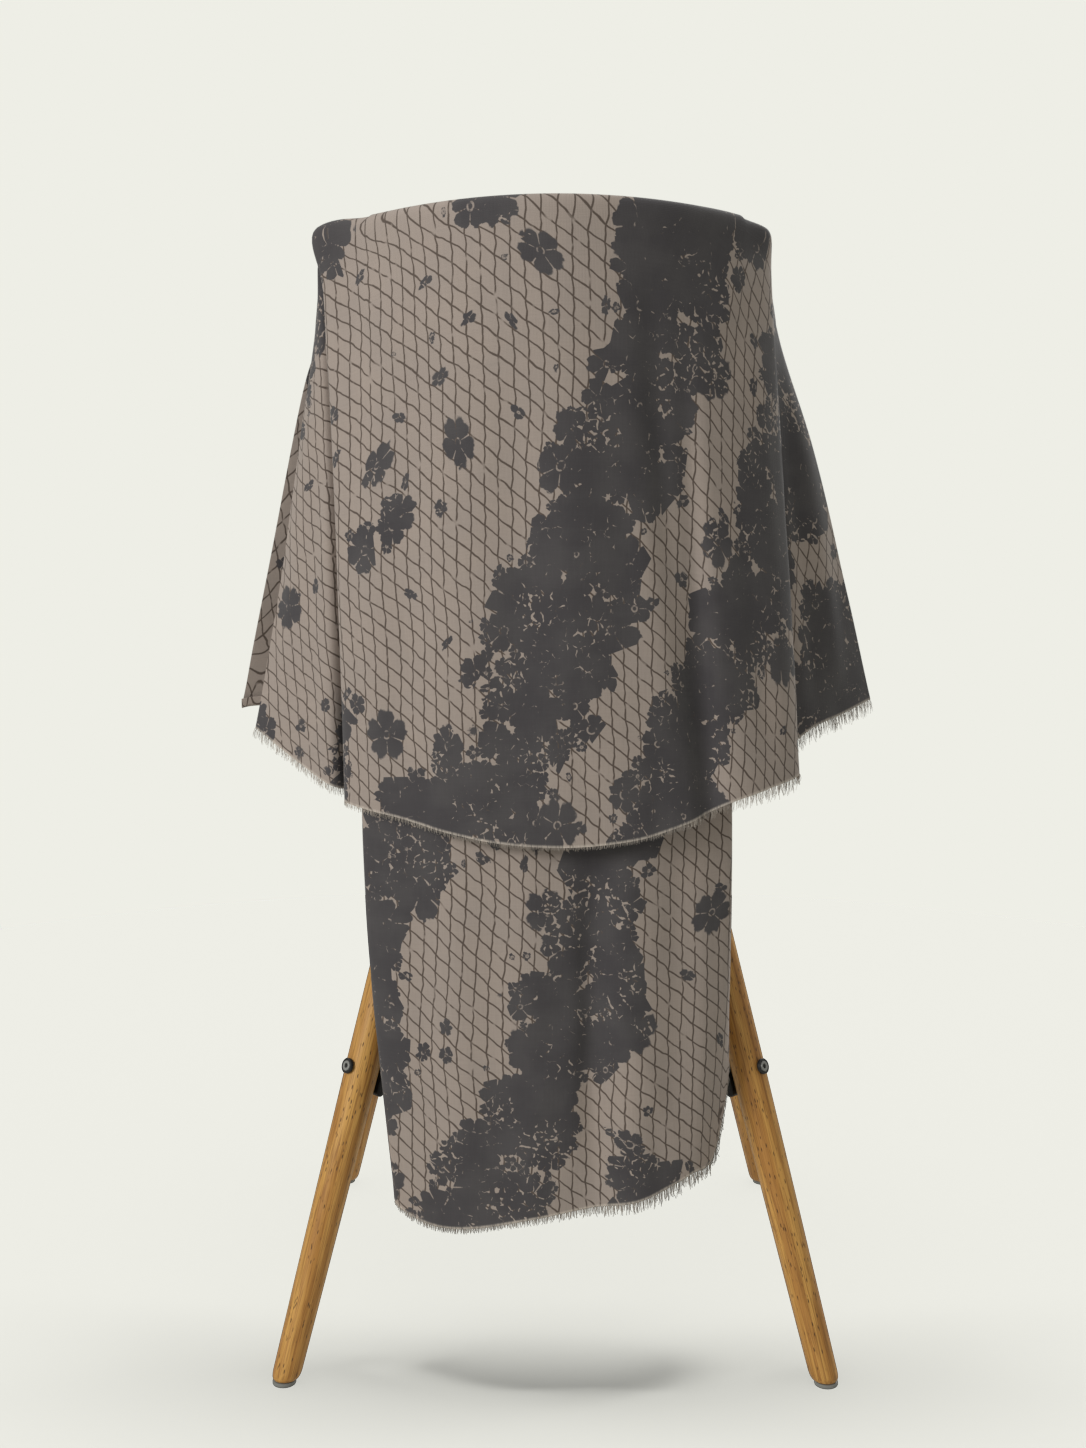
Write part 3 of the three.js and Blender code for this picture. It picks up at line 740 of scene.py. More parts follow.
    def build(self, cloth: bpy.types.Material) -> tuple[bpy.types.Object, np.ndarray, np.ndarray]:
        """Make the layer's sheet.

        Args:
            cloth: The printed cloth's material.

        Returns:
            The piece, its middle grid and its flat layout.
        """
        grid = self.creased_grid()
        flat = self.flat_layout(grid)
        points, faces = thick_sheet(grid, self.thick)
        piece = make_piece(self.name, points, faces, self.slot, self.node, (cloth,))
        set_flat_map(piece, np.tile(flat.reshape(-1, 2), (2, 1)))
        steps = np.linalg.norm(np.diff(grid, axis=0), axis=2)
        from_hem = np.concatenate([np.zeros((1, grid.shape[1])), np.cumsum(steps, axis=0)])
        set_number(piece, "from_hem", np.tile(from_hem.ravel() * MM, 2))
        log.info("%s runs from its %s to its %s", self.name, self.folds[0].name, self.folds[-1].name)
        return piece, grid, flat


@dataclass(frozen=True)
class FrayedEdge:
    """Loose threads along a stretch of a hem, which stand for a CAD node where one is named."""

    name: str
    node: str
    start: float
    end: float
    lengths: tuple[float, ...]
    spacing: float = 0.55
    radius: float = 0.21
    bends: int = 4
    sunk: float = 0.8
    droop: float = 0.25
    taper: float = 0.45
    seed: int = 1

    def build(
        self, grid: np.ndarray, flat: np.ndarray, thread: bpy.types.Material
    ) -> bpy.types.Object:
        """Make the threads of this stretch as one piece.

        Args:
            grid: The layer's middle grid, whose first row is the hem.
            flat: The layer's flat layout, which gives each thread the print's colour.
            thread: The threads' material.

        Returns:
            The new piece.
        """
        rng = np.random.default_rng(self.seed)
        hem = grid[0]
        columns = np.arange(len(hem))
        reach = np.append(0, np.cumsum(np.linalg.norm(np.diff(hem, axis=0), axis=1)))
        first, last = (np.interp(s * columns[-1], columns, reach) for s in (self.start, self.end))
        at = np.arange(first, last, self.spacing)
        at = np.clip(at + rng.uniform(-0.3, 0.3, len(at)), first, last)
        column = np.interp(at, reach, columns)
        root = between(hem, reach, at)
        back = unit(between(grid[3] - hem, columns, column))
        side = unit(between(np.gradient(hem, axis=0), columns, column))
        out = unit(np.cross(back, side))
        printed = between(flat[0], columns, column)
        length = through(np.array(self.lengths), (at - first) / (last - first))
        length = length * rng.uniform(0.45, 1.25, len(at))
        lean = rng.normal(0, 0.11, (len(at), 2))
        curl = rng.normal(0, 0.09, (len(at), 2))
        points, faces, places = [], [], []
        for n in range(len(at)):
            start = len(points)
            round_thread = circle(3, side[n], out[n])
            for t in np.arange(self.bends + 1) / self.bends:
                aside = lean[n] * t + curl[n] * math.sin(math.pi * t)
                fall = -back[n] * (1 - self.droop * t) + np.array([0, 0, -self.droop * t])
                middle = (root[n] + back[n] * self.sunk + fall * (length[n] + self.sunk) * t
                          + (side[n] * aside[0] + out[n] * aside[1]) * length[n])
                points.extend(middle + round_thread * (self.radius * (1 - self.taper * t)))
                places += [printed[n] - [0, t * length[n] * 0.3]] * 3
            faces += ring_faces(self.bends + 1, 3, start)
        piece = make_piece(self.name, np.array(points), faces, "shawl_fringe", self.node, (thread,), 180)
        set_flat_map(piece, np.array(places))
        set_number(piece, "from_hem", np.zeros(len(points)))
        return piece


OUTER_EDGES = (
    FrayedEdge("threads_outer_left_wing", "outer_fringe_left_wing", 0.0, 0.2, (6.5, 6, 5.5, 4), seed=11),
    FrayedEdge("threads_outer_left", "outer_fringe_left", 0.2, 0.388, (3.5, 3.0, 2.6), seed=12),
    FrayedEdge("threads_outer_middle", "outer_fringe_middle", 0.388, 0.555, (2.6, 2.4, 2.6), seed=13),
    FrayedEdge("threads_outer_right", "outer_fringe_right", 0.555, 0.83, (3.0, 5.5, 8.5, 7), seed=14),
    FrayedEdge("threads_outer_right_wing", "outer_fringe_right_wing", 0.83, 1.0, (7, 9, 9.5, 9), seed=15),
)
INNER_EDGES = (
    FrayedEdge("threads_inner_left", "inner_fringe_left", 0.02, 0.35, (3, 3.6, 3.2), seed=21),
    FrayedEdge("threads_inner_right", "inner_fringe_right", 0.35, 0.84, (3.6, 6.5, 8.5, 9), seed=22),
    FrayedEdge("threads_inner_corner", "", 0.845, 0.985, (6, 5, 6.5), seed=23),
)


class Signal:
    """A number that runs through a material's nodes, with ordinary arithmetic."""

    def __init__(self, wiring: "Wiring", socket: bpy.types.NodeSocket) -> None:
        """Wrap an output socket of a node."""
        self.wiring = wiring
        self.socket = socket

    def of(self, operation: str, *others: "Signal | float") -> "Signal":
        """The result of a Math node whose first input is this number."""
        return self.wiring.math(operation, self, *others)

    def __add__(self, other: "Signal | float") -> "Signal":
        """Sum."""
        return self.of("ADD", other)

    def __sub__(self, other: "Signal | float") -> "Signal":
        """Difference."""
        return self.of("SUBTRACT", other)

    def __rsub__(self, other: float) -> "Signal":
        """Difference from a plain number."""
        return self.wiring.math("SUBTRACT", other, self)

    def __mul__(self, other: "Signal | float") -> "Signal":
        """Product."""
        return self.of("MULTIPLY", other)

    def step(self, low: float, high: float) -> "Signal":
        """Soft step from 0 at low to 1 at high."""
        node = self.wiring.node("MapRange", {0: self, 1: low, 2: high}, interpolation_type="SMOOTHSTEP")
        return Signal(self.wiring, node.outputs[0])

    def line(self, half_width: float) -> "Signal":
        """1 within half_width of every whole number, softly 0 beyond."""
        near = self.of("FRACT") - 0.5
        return 1.0 - (0.5 - near.of("ABSOLUTE")).step(half_width * 0.55, half_width * 1.3)


class Wiring:
    """The nodes of one material, with short calls for the common ones."""

    def __init__(self, name: str) -> None:
        """Start a material with a plain shader.

        Args:
            name: The material's name.
        """
        self.material = bpy.data.materials.new(name)
        self.material.use_nodes = True
        self.tree = self.material.node_tree
        self.shader = self.tree.nodes["Principled BSDF"]

    def feed(self, socket: bpy.types.NodeSocket, value: object) -> None:
        """Link a signal or socket into a socket, or set a plain value on it.

        Args:
            socket: The socket that is fed.
            value: A signal, a socket or a plain value.
        """
        if isinstance(value, Signal):
            self.tree.links.new(value.socket, socket)
        elif isinstance(value, bpy.types.NodeSocket):
            self.tree.links.new(value, socket)
        else:
            socket.default_value = value

    def node(self, kind: str, inputs: dict | None = None, **settings: object) -> bpy.types.Node:
        """Add a shader node.

        Args:
            kind: The node type without its ShaderNode prefix.
            inputs: Values or signals by input name or number.
            **settings: Properties of the node.

        Returns:
            The new node.
        """
        made = self.tree.nodes.new("ShaderNode" + kind)
        for key, value in settings.items():
            setattr(made, key, value)
        for key, value in (inputs or {}).items():
            self.feed(made.inputs[key], value)
        return made

    def math(self, operation: str, *values: Signal | float) -> Signal:
        """Result of one Math node."""
        made = self.node("Math", dict(enumerate(values)), operation=operation)
        return Signal(self, made.outputs[0])

    def split(self, vector: bpy.types.NodeSocket) -> list[Signal]:
        """The x, y and z of a vector."""
        made = self.node("SeparateXYZ", {0: vector})
        return [Signal(self, made.outputs[k]) for k in range(3)]

    def join(self, x: Signal | float, y: Signal | float, z: Signal | float = 0.0) -> bpy.types.NodeSocket:
        """A vector from its three numbers."""
        return self.node("CombineXYZ", {0: x, 1: y, 2: z}).outputs[0]

    def noise(self, place: bpy.types.NodeSocket, scale: float, detail: float = 2.0) -> Signal:
        """Soft noise from 0 to 1, scale times a metre."""
        made = self.node("TexNoise", {"Vector": place, "Scale": scale, "Detail": detail})
        return Signal(self, made.outputs[0])

    def blend(self, share: Signal, first: object, second: object) -> bpy.types.NodeSocket:
        """Mix of two colours."""
        made = self.node("Mix", {0: share, 6: first, 7: second}, data_type="RGBA")
        return made.outputs[2]

    def bump(self, height: Signal, strength: float, distance: float) -> None:
        """Raise the surface's shading by a height in units of distance."""
        made = self.node("Bump", {"Height": height, "Strength": strength, "Distance": distance})
        self.feed(self.shader.inputs["Normal"], made.outputs[0])

    def finish(self, colour: object, roughness: object, **fixed: float) -> bpy.types.Material:
        """Set the shader's own sockets and hand the material over.

        Args:
            colour: The base colour, as a socket or a plain colour.
            roughness: The roughness, as a signal or a number.
            **fixed: Numbers for other sockets, by name in lower case.

        Returns:
            The finished material.
        """
        self.feed(self.shader.inputs["Base Color"], colour)
        self.feed(self.shader.inputs["Roughness"], roughness)
        for name, value in fixed.items():
            self.feed(self.shader.inputs[name.replace("_", " ").title().replace("Ior", "IOR")], value)
        return self.material


def srgb(code: str, alpha: float = 1.0) -> Colour:
    """Linear colour from a screen colour.

    Args:
        code: The screen colour's six digits.
        alpha: Its fourth number.

    Returns:
        Red, green, blue and alpha from 0 to 1.
    """
    parts = [int(code[k:k + 2], 16) / 255 for k in (0, 2, 4)]
    linear = [c / 12.92 if c <= 0.04045 else ((c + 0.055) / 1.055) ** 2.4 for c in parts]
    return (*linear, alpha)


@dataclass(frozen=True)
class Blossom:
    """One scatter of blossoms over the cloth, one a cell.

    A blossom grows from nothing to its reach as its depth goes from start to full. The depth is
    follow times that of the drift at its middle, and luck is how far chance changes it.
    """

    pitch: float
    reach: float
    start: float
    full: float
    luck: float
    shift: float
    follow: float = 1.0
    petals: int = 5
    strewn: float = 0.9
    tilted: float = 0.35


@dataclass(frozen=True)
class ClothPlace:
    """A place on the flat cloth, in metres, as it runs through a material's nodes."""

    w: Wiring
    x: Signal
    y: Signal

    def noise(self, level: float, scale: float, detail: float) -> Signal:
        """Soft noise from 0 to 1, scale times a metre, at one level of its field."""
        return self.w.noise(self.w.join(self.x, self.y, level), scale, detail)

    def moved(self, x: Signal | float, y: Signal | float) -> "ClothPlace":
        """The place some way across and down."""
        return ClothPlace(self.w, self.x + x, self.y + y)

    def cells(self, pitch: float, **settings: object) -> bpy.types.Node:
        """Voronoi cells over the cloth, about one to each square of the pitch."""
        return self.w.node("TexVoronoi", {"Vector": self.w.join(self.x, self.y), "Scale": 1 / pitch},
                           voronoi_dimensions="2D", **settings)


@dataclass(frozen=True)
class FlowerPrint:
    """Matt light plain weave with a net of thin lines and drifts of dark blossoms.

    The drifts, blossoms and net come from formulas over the flat cloth, in metres.
    """

    name: str
    ground: str = "9b8f87"
    ground_warm: str = "9e9188"
    line_colour: str = "43372f"
    flower: str = "4d4a4b"
    flower_deep: str = "454244"
    pale: str = "c6bbaf"
    threads: bool = False
    net_across: float = 0.0102
    net_down: float = 0.0132
    net_slope: float = 0.84
    net_line: float = 0.00062
    drift_spacing: float = 0.146
    drift_phase: float = 0.42
    drift_lean: tuple[float, float] = (0.894, -0.447)
    slub_close: float = 900.0
    slub_long: float = 34.0
    # x, y and reach of each stretch that the drifts leave open
    open_ground: tuple[tuple[float, float, float], ...] = (
        (-0.115, -0.11, 0.125), (-0.27, -0.24, 0.11), (-0.31, 0.2, 0.14), (0.15, -0.40, 0.05),
    )
    # three sizes that fill the drifts, then the single ones with five and with three petals
    blossoms: tuple[Blossom, ...] = (
        Blossom(0.034, 0.68, 0.22, 0.46, 0.30, 0.31),
        Blossom(0.020, 0.70, 0.26, 0.50, 0.44, 0.57),
        Blossom(0.0110, 0.62, 0.30, 0.55, 0.44, 0.83),
        Blossom(0.064, 0.30, 0.10, 0.15, 1.0, 0.19, follow=0.0, strewn=0.45, tilted=0.7),
        Blossom(0.030, 0.22, 0.24, 0.30, 1.0, 0.43, follow=0.0, petals=3, strewn=0.6, tilted=1.2),
    )

    def _drift(self, at: ClothPlace) -> Signal:
        """How deep a place lies in one of the diagonal drifts, from 0 to about 1.

        Args:
            at: Place on the flat cloth.

        Returns:
            The depth.
        """
        slow = at.noise(0.37, 6.5, 1.0)
        uneven = at.noise(1.9, 24.0, 2.0)
        lean_x, lean_y = self.drift_lean
        across = (at.x * lean_x + at.y * lean_y) * (1 / self.drift_spacing)
        ridge = (across + self.drift_phase + (slow - 0.5) * 0.9) * (2 * math.pi)
        depth = ridge.of("COSINE") * 0.5 + 0.5 + (uneven - 0.5) * 0.55
        for clear_x, clear_y, reach in self.open_ground:
            dx, dy = at.x - clear_x, at.y - clear_y
            far = (dx * dx + dy * dy).of("SQRT")
            depth = depth - (1.0 - far.step(reach * 0.5, reach * 1.25)) * 0.9
        return depth

    def _scatter(self, at: ClothPlace, kind: Blossom) -> Signal:
        """Mask of one scatter of blossoms, bigger and closer where a drift is deep.

        Args:
            at: Place on the flat cloth.
            kind: The scatter's sizes.

        Returns:
            1 inside a blossom and 0 outside.
        """
        here = at.moved(kind.shift, kind.shift)
        cells = here.cells(kind.pitch)
        cells.inputs["Randomness"].default_value = kind.strewn
        cx, cy, _ = at.w.split(cells.outputs["Position"])
        luck, turn, tilt = at.w.split(cells.outputs["Color"])
        cosine, sine = ((turn * (2 * math.pi)).of(name) for name in ("COSINE", "SINE"))
        dx, dy = here.x - cx, here.y - cy
        along = dx * cosine + dy * sine
        aside = (dy * cosine - dx * sine) * (tilt * kind.tilted + 1.0)
        depth = (luck - 0.5) * kind.luck
        if kind.follow:
            middle = ClothPlace(at.w, cx - kind.shift, cy - kind.shift)
            depth = depth + self._drift(middle) * kind.follow
        size = depth.step(kind.start, kind.full)
        angle = aside.of("ARCTAN2", along) + luck * 9.0
        lobes = (angle * (kind.petals / 2)).of("COSINE").of("ABSOLUTE").of("POWER", 0.5)
        radius = (along * along + aside * aside).of("SQRT") * (1 / kind.pitch)
        ragged = here.noise(0.0, 190.0, 2.5)
        petal = lobes * 0.42 + 0.58 - lobes.step(0.95, 1.0) * 0.09
        edge = size * petal * kind.reach + (ragged - 0.5) * (0.0075 / kind.pitch)
        inside = (edge - radius).step(-0.012, 0.02) * size.step(0.12, 0.2)
        inner = radius.step(kind.reach * 0.2, kind.reach * 0.3)
        parted = (1.0 - lobes.step(0.2, 0.42)) * inner * ragged.step(0.42, 0.52)
        eye_line = (radius - kind.reach * 0.14).of("ABSOLUTE")
        eye = 1.0 - eye_line.step(0.0003 / kind.pitch, 0.0009 / kind.pitch)
        return inside * (1.0 - parted * 0.9) * (1.0 - eye * ragged.step(0.42, 0.55) * 0.8)

    def _slits(self, at: ClothPlace) -> Signal:
        """Small pale slits between petals, in patches.

        Args:
            at: Place on the flat cloth.

        Returns:
            1 inside a slit and 0 outside.
        """
        warp = at.noise(5.0, 150.0, 1.0) - 0.5
        cells = at.moved(warp * 0.006, warp * -0.006).cells(0.0085, feature="DISTANCE_TO_EDGE")
        patches = at.noise(2.6, 26.0, 2.0)
        broken = at.noise(8.1, 230.0, 1.0)
        width = patches.step(0.50, 0.66) * broken.step(0.44, 0.62) * 0.12
        return (width - Signal(at.w, cells.outputs[0])).step(0.0, 0.02)

    def _net(self, at: ClothPlace) -> Signal:
        """Thin net of near-upright and slanting lines with slightly shaky strands.

        Args:
            at: Place on the flat cloth.

        Returns:
            1 on a line and 0 between them.
        """
        shake = at.noise(3.3, 55.0, 2.0) - 0.5
        bow = at.noise(6.4, 9.0, 1.0) - 0.5
        sx = at.x + shake * 0.0036 + bow * 0.012
        sy = at.y + shake * 0.0042
        slant = (sy + sx * self.net_slope) * (1 / self.net_down)
        kink = ((slant.of("FRACT") - 0.5).of("ABSOLUTE") - 0.25) * 0.13
        upright = (sx - sy * 0.04) * (1 / self.net_across) + kink
        thin = at.noise(4.4, 120.0, 1.0)
        first = upright.line(self.net_line / self.net_across)
        second = slant.line(self.net_line / (self.net_down * 0.77))
        return first.of("MAXIMUM", second) * thin.step(0.22, 0.42)

    def material(self) -> bpy.types.Material:
        """Build the cloth's material.

        Returns:
            The material, which reads the flat cloth's map and the distance from the hem.
        """
        w = Wiring(self.name)
        place = w.node("UVMap", uv_map="FlatCloth").outputs[0]
        x, y, _ = w.split(place)
        at = ClothPlace(w, x, y)
        tone = w.noise(place, 30.0, 3.0)
        slub_down = w.noise(w.join(x * self.slub_close, y * self.slub_long), 1.0, 1.0)
        slub_across = w.noise(w.join(x * self.slub_long, y * self.slub_close), 1.0, 1.0)
        slub = (slub_down + slub_across) * 0.5
        ground = w.blend(tone.step(0.3, 0.7), srgb(self.ground), srgb(self.ground_warm))
        with_net = w.blend(self._net(at) * 0.86, ground, srgb(self.line_colour))
        mass = self._scatter(at, self.blossoms[0])
        for kind in self.blossoms[1:]:
            mass = mass.of("MAXIMUM", self._scatter(at, kind))
        mass = mass * (1.0 - self._slits(at))
        dark = w.blend(tone.step(0.35, 0.65), srgb(self.flower), srgb(self.flower_deep))
        printed = w.blend(mass, with_net, dark)
        from_hem = Signal(w, w.node("Attribute", attribute_name="from_hem").outputs["Fac"])
        loose = (1.0 - from_hem.step(0.0004, 0.0024)) * (slub_down.step(0.35, 0.6) * 0.5 + 0.4)
        share = loose * (0.95 if self.threads else 0.8)
        edged = w.blend(share, printed, srgb(self.pale))
        worn = w.node("HueSaturation", {"Value": slub * 0.22 + 0.89, "Color": edged})
        weave = ((x * (math.pi / 0.00045)).of("SINE") + (y * (math.pi / 0.00045)).of("SINE")) * 0.25
        w.bump(weave + slub * 1.6, 0.35, 0.00025)
        return w.finish(worn.outputs[0], 0.88, specular_ior_level=0.25, sheen_weight=0.18,
                        sheen_roughness=0.45)


@dataclass(frozen=True)
class OiledOak:
    """Golden oak with long grain, darker late wood and open dark pores."""

    name: str = "oiled_oak"
    light: str = "cb994f"
    middle: str = "ae7a38"
    dark: str = "81531f"
    pore: str = "3f2711"

    def material(self) -> bpy.types.Material:
        """Build the wood's material from the place inside each leg.

        Returns:
            The material, which reads each vertex's grain place.
        """
        w = Wiring(self.name)
        x, y, z = w.split(w.node("Attribute", attribute_name="grain").outputs["Vector"])

        def stretched(across: float, along: float) -> bpy.types.NodeSocket:
            """The place inside the leg, in waves a metre across it and along it."""
            return w.join(x * across, y * across, z * along)

        warp = w.noise(stretched(20.0, 5.0), 1.0, 2.0)
        rings = w.noise(w.join((x + warp * 0.02) * 260.0, y * 120.0, z * 5.5), 1.0, 3.0)
        fine = w.noise(stretched(1500.0, 42.0), 1.0, 2.0)
        streak = w.noise(stretched(480.0, 9.0), 1.0, 2.0)
        base = w.blend(rings.step(0.36, 0.62), srgb(self.light), srgb(self.middle))
        base = w.blend(streak.step(0.52, 0.72) * 0.7, base, srgb(self.dark))
        base = w.blend(fine.step(0.46, 0.66) * 0.6, base, srgb(self.dark))
        cells = w.node("TexVoronoi", {"Vector": stretched(760.0, 150.0), "Scale": 1.0})
        luck, _, _ = w.split(cells.outputs["Color"])
        patches = w.noise(stretched(60.0, 14.0), 1.0, 1.0)
        pores = 1.0 - Signal(w, cells.outputs["Distance"]).step(0.16, 0.34)
        pores = pores * (luck + patches * 0.55).step(0.88, 0.98)
        coloured = w.blend(pores, base, srgb(self.pore))
        w.bump(fine * 0.5 - pores * 1.5 + streak * 0.4, 0.5, 0.0003)
        return w.finish(coloured, fine * 0.15 + 0.42, specular_ior_level=0.4, coat_weight=0.08,
                        coat_roughness=0.35)


@dataclass(frozen=True)
class PlainFinish:
    """A plain painted, moulded or metal surface with slight mottling and a fine texture."""

    name: str
    colour: str
    mottle: str
    roughness: float
    metallic: float = 0.0
    grain: float = 900.0
    relief: float = 0.12

    def material(self) -> bpy.types.Material:
        """Build the finish's material from the place in the object.

        Returns:
            The material.
        """
        w = Wiring(self.name)
        place = w.node("TexCoord").outputs["Object"]
        cloudy = w.noise(place, 14.0, 3.0)
        fine = w.noise(place, self.grain, 2.0)
        colour = w.blend(cloudy.step(0.3, 0.7), srgb(self.colour), srgb(self.mottle))
        w.bump(fine, self.relief, 0.0003)
        return w.finish(colour, cloudy * 0.12 + (self.roughness - 0.06), metallic=self.metallic)


@dataclass
class Chair:
    """The shell side chair that the shawl lies on."""

    foot_x: float = 200.0
    foot_y: float = 190.0
    splay_x: float = 0.245
    splay_y: float = 0.25
    bolt_z: float = 222.0
    leg_at_bolt: float = 12.7
    # height and radius up a leg, with the eased foot edge first
    leg_taper: tuple[tuple[float, float], ...] = (
        (3.3, 7.6), (3.6, 8.3), (4.4, 9.1), (5.6, 9.7), (7.5, 10.1), (10, 10.3), (40, 10.7),
        (130, 11.8), (222, 12.7), (340, 13.2),
    )
    seam: float = 0.35
    leg_sides: int = 48
    leg_top_above: float = 365.0
    leg_top_radius: float = 12.8
    leg_top_level: float = 400.0
    leg_top_gap: float = 0.15
    strut_width: float = 17.0
    strut_thick: float = 4.5
    strut_edge: float = 0.7
    strut_bends: tuple[float, float] = (4.0, 7.0)
    tab_reach: float = 18.5
    hub_radius: float = 38.0
    hub_gap: float = 15.0
    hub_thick: float = 5.0
    hub_z: float = 302.0
    shell_rows: int = 112
    shell_across: int = 72
    rim_rounding: float = 2.1
    form: ShellForm = ShellForm()
    moulded: PlainFinish = PlainFinish("moulded_shell", "c6c4be", "bfbdb7", 0.5, grain=1400.0)
    oak: OiledOak = OiledOak()
    nylon: PlainFinish = PlainFinish("grey_nylon", "83837f", "777773", 0.6)
    collar: PlainFinish = PlainFinish("black_collar", "1f1f20", "262627", 0.42, 0.3)
    socket: PlainFinish = PlainFinish("bright_socket", "bcbcb8", "8d8d8a", 0.36, 0.55)
    steel: PlainFinish = PlainFinish("black_powder_coat", "1b1b1c", "222223", 0.5, 0.2, relief=0.3)

    def axis(self, corner: Corner, z: float) -> np.ndarray:
        """Middle of a leg at a height."""
        sx, sy = corner.value
        return np.array([sx * (self.foot_x - self.splay_x * z), sy * (self.foot_y - self.splay_y * z), z])

    def directions(self, corner: Corner) -> tuple[np.ndarray, np.ndarray, np.ndarray]:
        """Directions up a leg, outward from the chair's middle, and sideways.

        Args:
            corner: Which leg.

        Returns:
            Three directions of length one, square to each other.
        """
        sx, sy = corner.value
        up = unit(np.array([-sx * self.splay_x, -sy * self.splay_y, 1.0]))
        away = unit(self.axis(corner, self.bolt_z) * [1, 1, 0])
        out = unit(away - up * (away @ up))
        return up, out, np.cross(up, out)

    def build_shell(self, moulded: bpy.types.Material) -> None:
        """Make the shell with a rounded rim.

        Args:
            moulded: The shell's material.
        """
        v, u = np.meshgrid(np.linspace(0, 1, self.shell_rows), np.linspace(-1, 1, self.shell_across),
                           indexing="ij")
        grid = self.form.point(u, v)
        points, faces = thick_sheet(grid, self.form.thick)
        piece = make_piece("chair_shell", points, faces, "shell", "seat_shell", (moulded,), 75)
        rim = piece.modifiers.new("rounded_rim", "BEVEL")
        rim.width = self.rim_rounding * MM
        rim.segments = 4
        rim.limit_method = "ANGLE"
        rim.angle_limit = math.radians(60)

    def _leg_top(self, corner: Corner) -> np.ndarray:
        """Plane z = a + b x + c y of a leg's top cut, read from its CAD node.

        Args:
            corner: Which leg.

        Returns:
            The numbers a, b and c, in millimetres.
        """
        points = np.array([v.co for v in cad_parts[f"leg_{corner.place}"].data.vertices]) / MM
        top = points[points[:, 2] > self.leg_top_above]
        known = np.column_stack([np.ones(len(top)), top[:, 0], top[:, 1]])
        return np.linalg.lstsq(known, top[:, 2], rcond=None)[0]

    def build_leg(self, corner: Corner, oak: bpy.types.Material) -> None:
        """Make a round tapered leg with eased foot edges.

        Args:
            corner: Which leg.
            oak: The wood's material.
        """
        up, out, side = self.directions(corner)
        sx, sy = corner.value
        rise = np.array([-sx * self.splay_x, -sy * self.splay_y, 1.0])
        known, thickness = zip(*self.leg_taper)
        foot, shaft = known[:6], np.linspace(40, 340, 25)
        heights = [*foot, 24, *shaft]
        radii = np.interp(heights, known, thickness)
        section = circle(self.leg_sides, out, side)
        rings = []
        for z, radius in zip(heights, radii):
            ring = self.axis(corner, z) + section * radius
            rings.append(ring + np.outer(z - ring[:, 2], rise))
        a, b, c = self._leg_top(corner)
        ring = self.axis(corner, self.leg_top_level) + section * self.leg_top_radius
        lack = a + b * ring[:, 0] + c * ring[:, 1] - ring[:, 2] - self.leg_top_gap
        rings.append(ring + np.outer(lack / (1 - b * rise[0] - c * rise[1]), rise))
        points = np.concatenate(rings)
        piece = make_piece(f"oak_leg_{corner.place}", points, ring_faces(len(rings), self.leg_sides),
                           "oak", f"leg_{corner.place}", (oak,), 40)
        offset = points - self.axis(corner, 0.0)
        own = np.column_stack([offset @ out, offset @ side, offset @ up])
        seed = 97.0 * (sx + 2 * sy)
        set_places(piece, "grain", own + [seed, -seed, seed * 3])

    def _turned(
        self,
        name: str,
        node: str,
        slot: str,
        foot: np.ndarray,
        profile: tuple[tuple[float, float], ...],
        sides: int,
        material: bpy.types.Material,
    ) -> None:
        """Make an upright turned piece.

        Args:
            name: The piece's name.
            node: The CAD node that it stands for.
            slot: The record's material slot.
            foot: The middle of its underside.
            profile: Radius and height of each ring, from the foot up.
            sides: Faces round the axis.
            material: The piece's material.
        """
        section = circle(sides, [1, 0, 0], [0, 1, 0])
        rings = [foot + [0, 0, height] + section * radius for radius, height in profile]
        faces = ring_faces(len(rings), sides)
        make_piece(name, np.concatenate(rings), faces, slot, node, (material,), 35)

    def build_glide(self, corner: Corner, nylon: bpy.types.Material) -> None:
        """Make the disc that a leg stands on, with eased edges.

        Args:
            corner: Which leg.
            nylon: The disc's material.
        """
        profile = ((7.7, 0), (8.3, 0.25), (8.5, 0.8), (8.5, 2.3), (8.2, 2.8), (7.7, 3.0))
        self._turned(f"glide_disc_{corner.place}", f"glide_{corner.place}", "glide",
                     self.axis(corner, 0.0), profile, 40, nylon)

    def build_bolt(self, corner: Corner, materials: tuple[bpy.types.Material, ...]) -> None:
        """Make a bolt head: a black collar round a bright head with a six-sided socket.

        Args:
            corner: Which leg.
            materials: The collar's material and the head's.
        """
        up, out, side = self.directions(corner)
        foot = self.axis(corner, self.bolt_z) + out * (self.leg_at_bolt + self.seam)
        sides = 48
        section = circle(sides, side, up)
        turns = np.linspace(0, 2 * math.pi, sides, endpoint=False)
        six = (math.cos(math.pi / 6) / np.cos((turns % (math.pi / 3)) - math.pi / 6))[:, None]
        collar = ((5.5, 0.0), (5.75, 0.3), (5.75, 1.9), (5.4, 2.4), (4.5, 2.5), (4.1, 2.2), (3.9, 2.2))
        head = ((3.7, 2.9), (3.0, 3.15), (2.35, 3.0))
        socket = ((2.05, 2.9), (1.95, 1.0))
        rings = [foot + out * height + section * radius for radius, height in collar + head]
        rings += [foot + out * height + section * (radius * six) for radius, height in socket]
        piece = make_piece(f"bolt_head_{corner.place}", np.concatenate(rings),
                           ring_faces(len(rings), sides), "bolt", f"bolt_{corner.place}",
                           materials, 35)
        collar_faces = (len(collar) - 1) * sides
        side_faces = (len(rings) - 1) * sides
        for n, face in enumerate(piece.data.polygons):
            face.material_index = int(collar_faces <= n < side_faces)

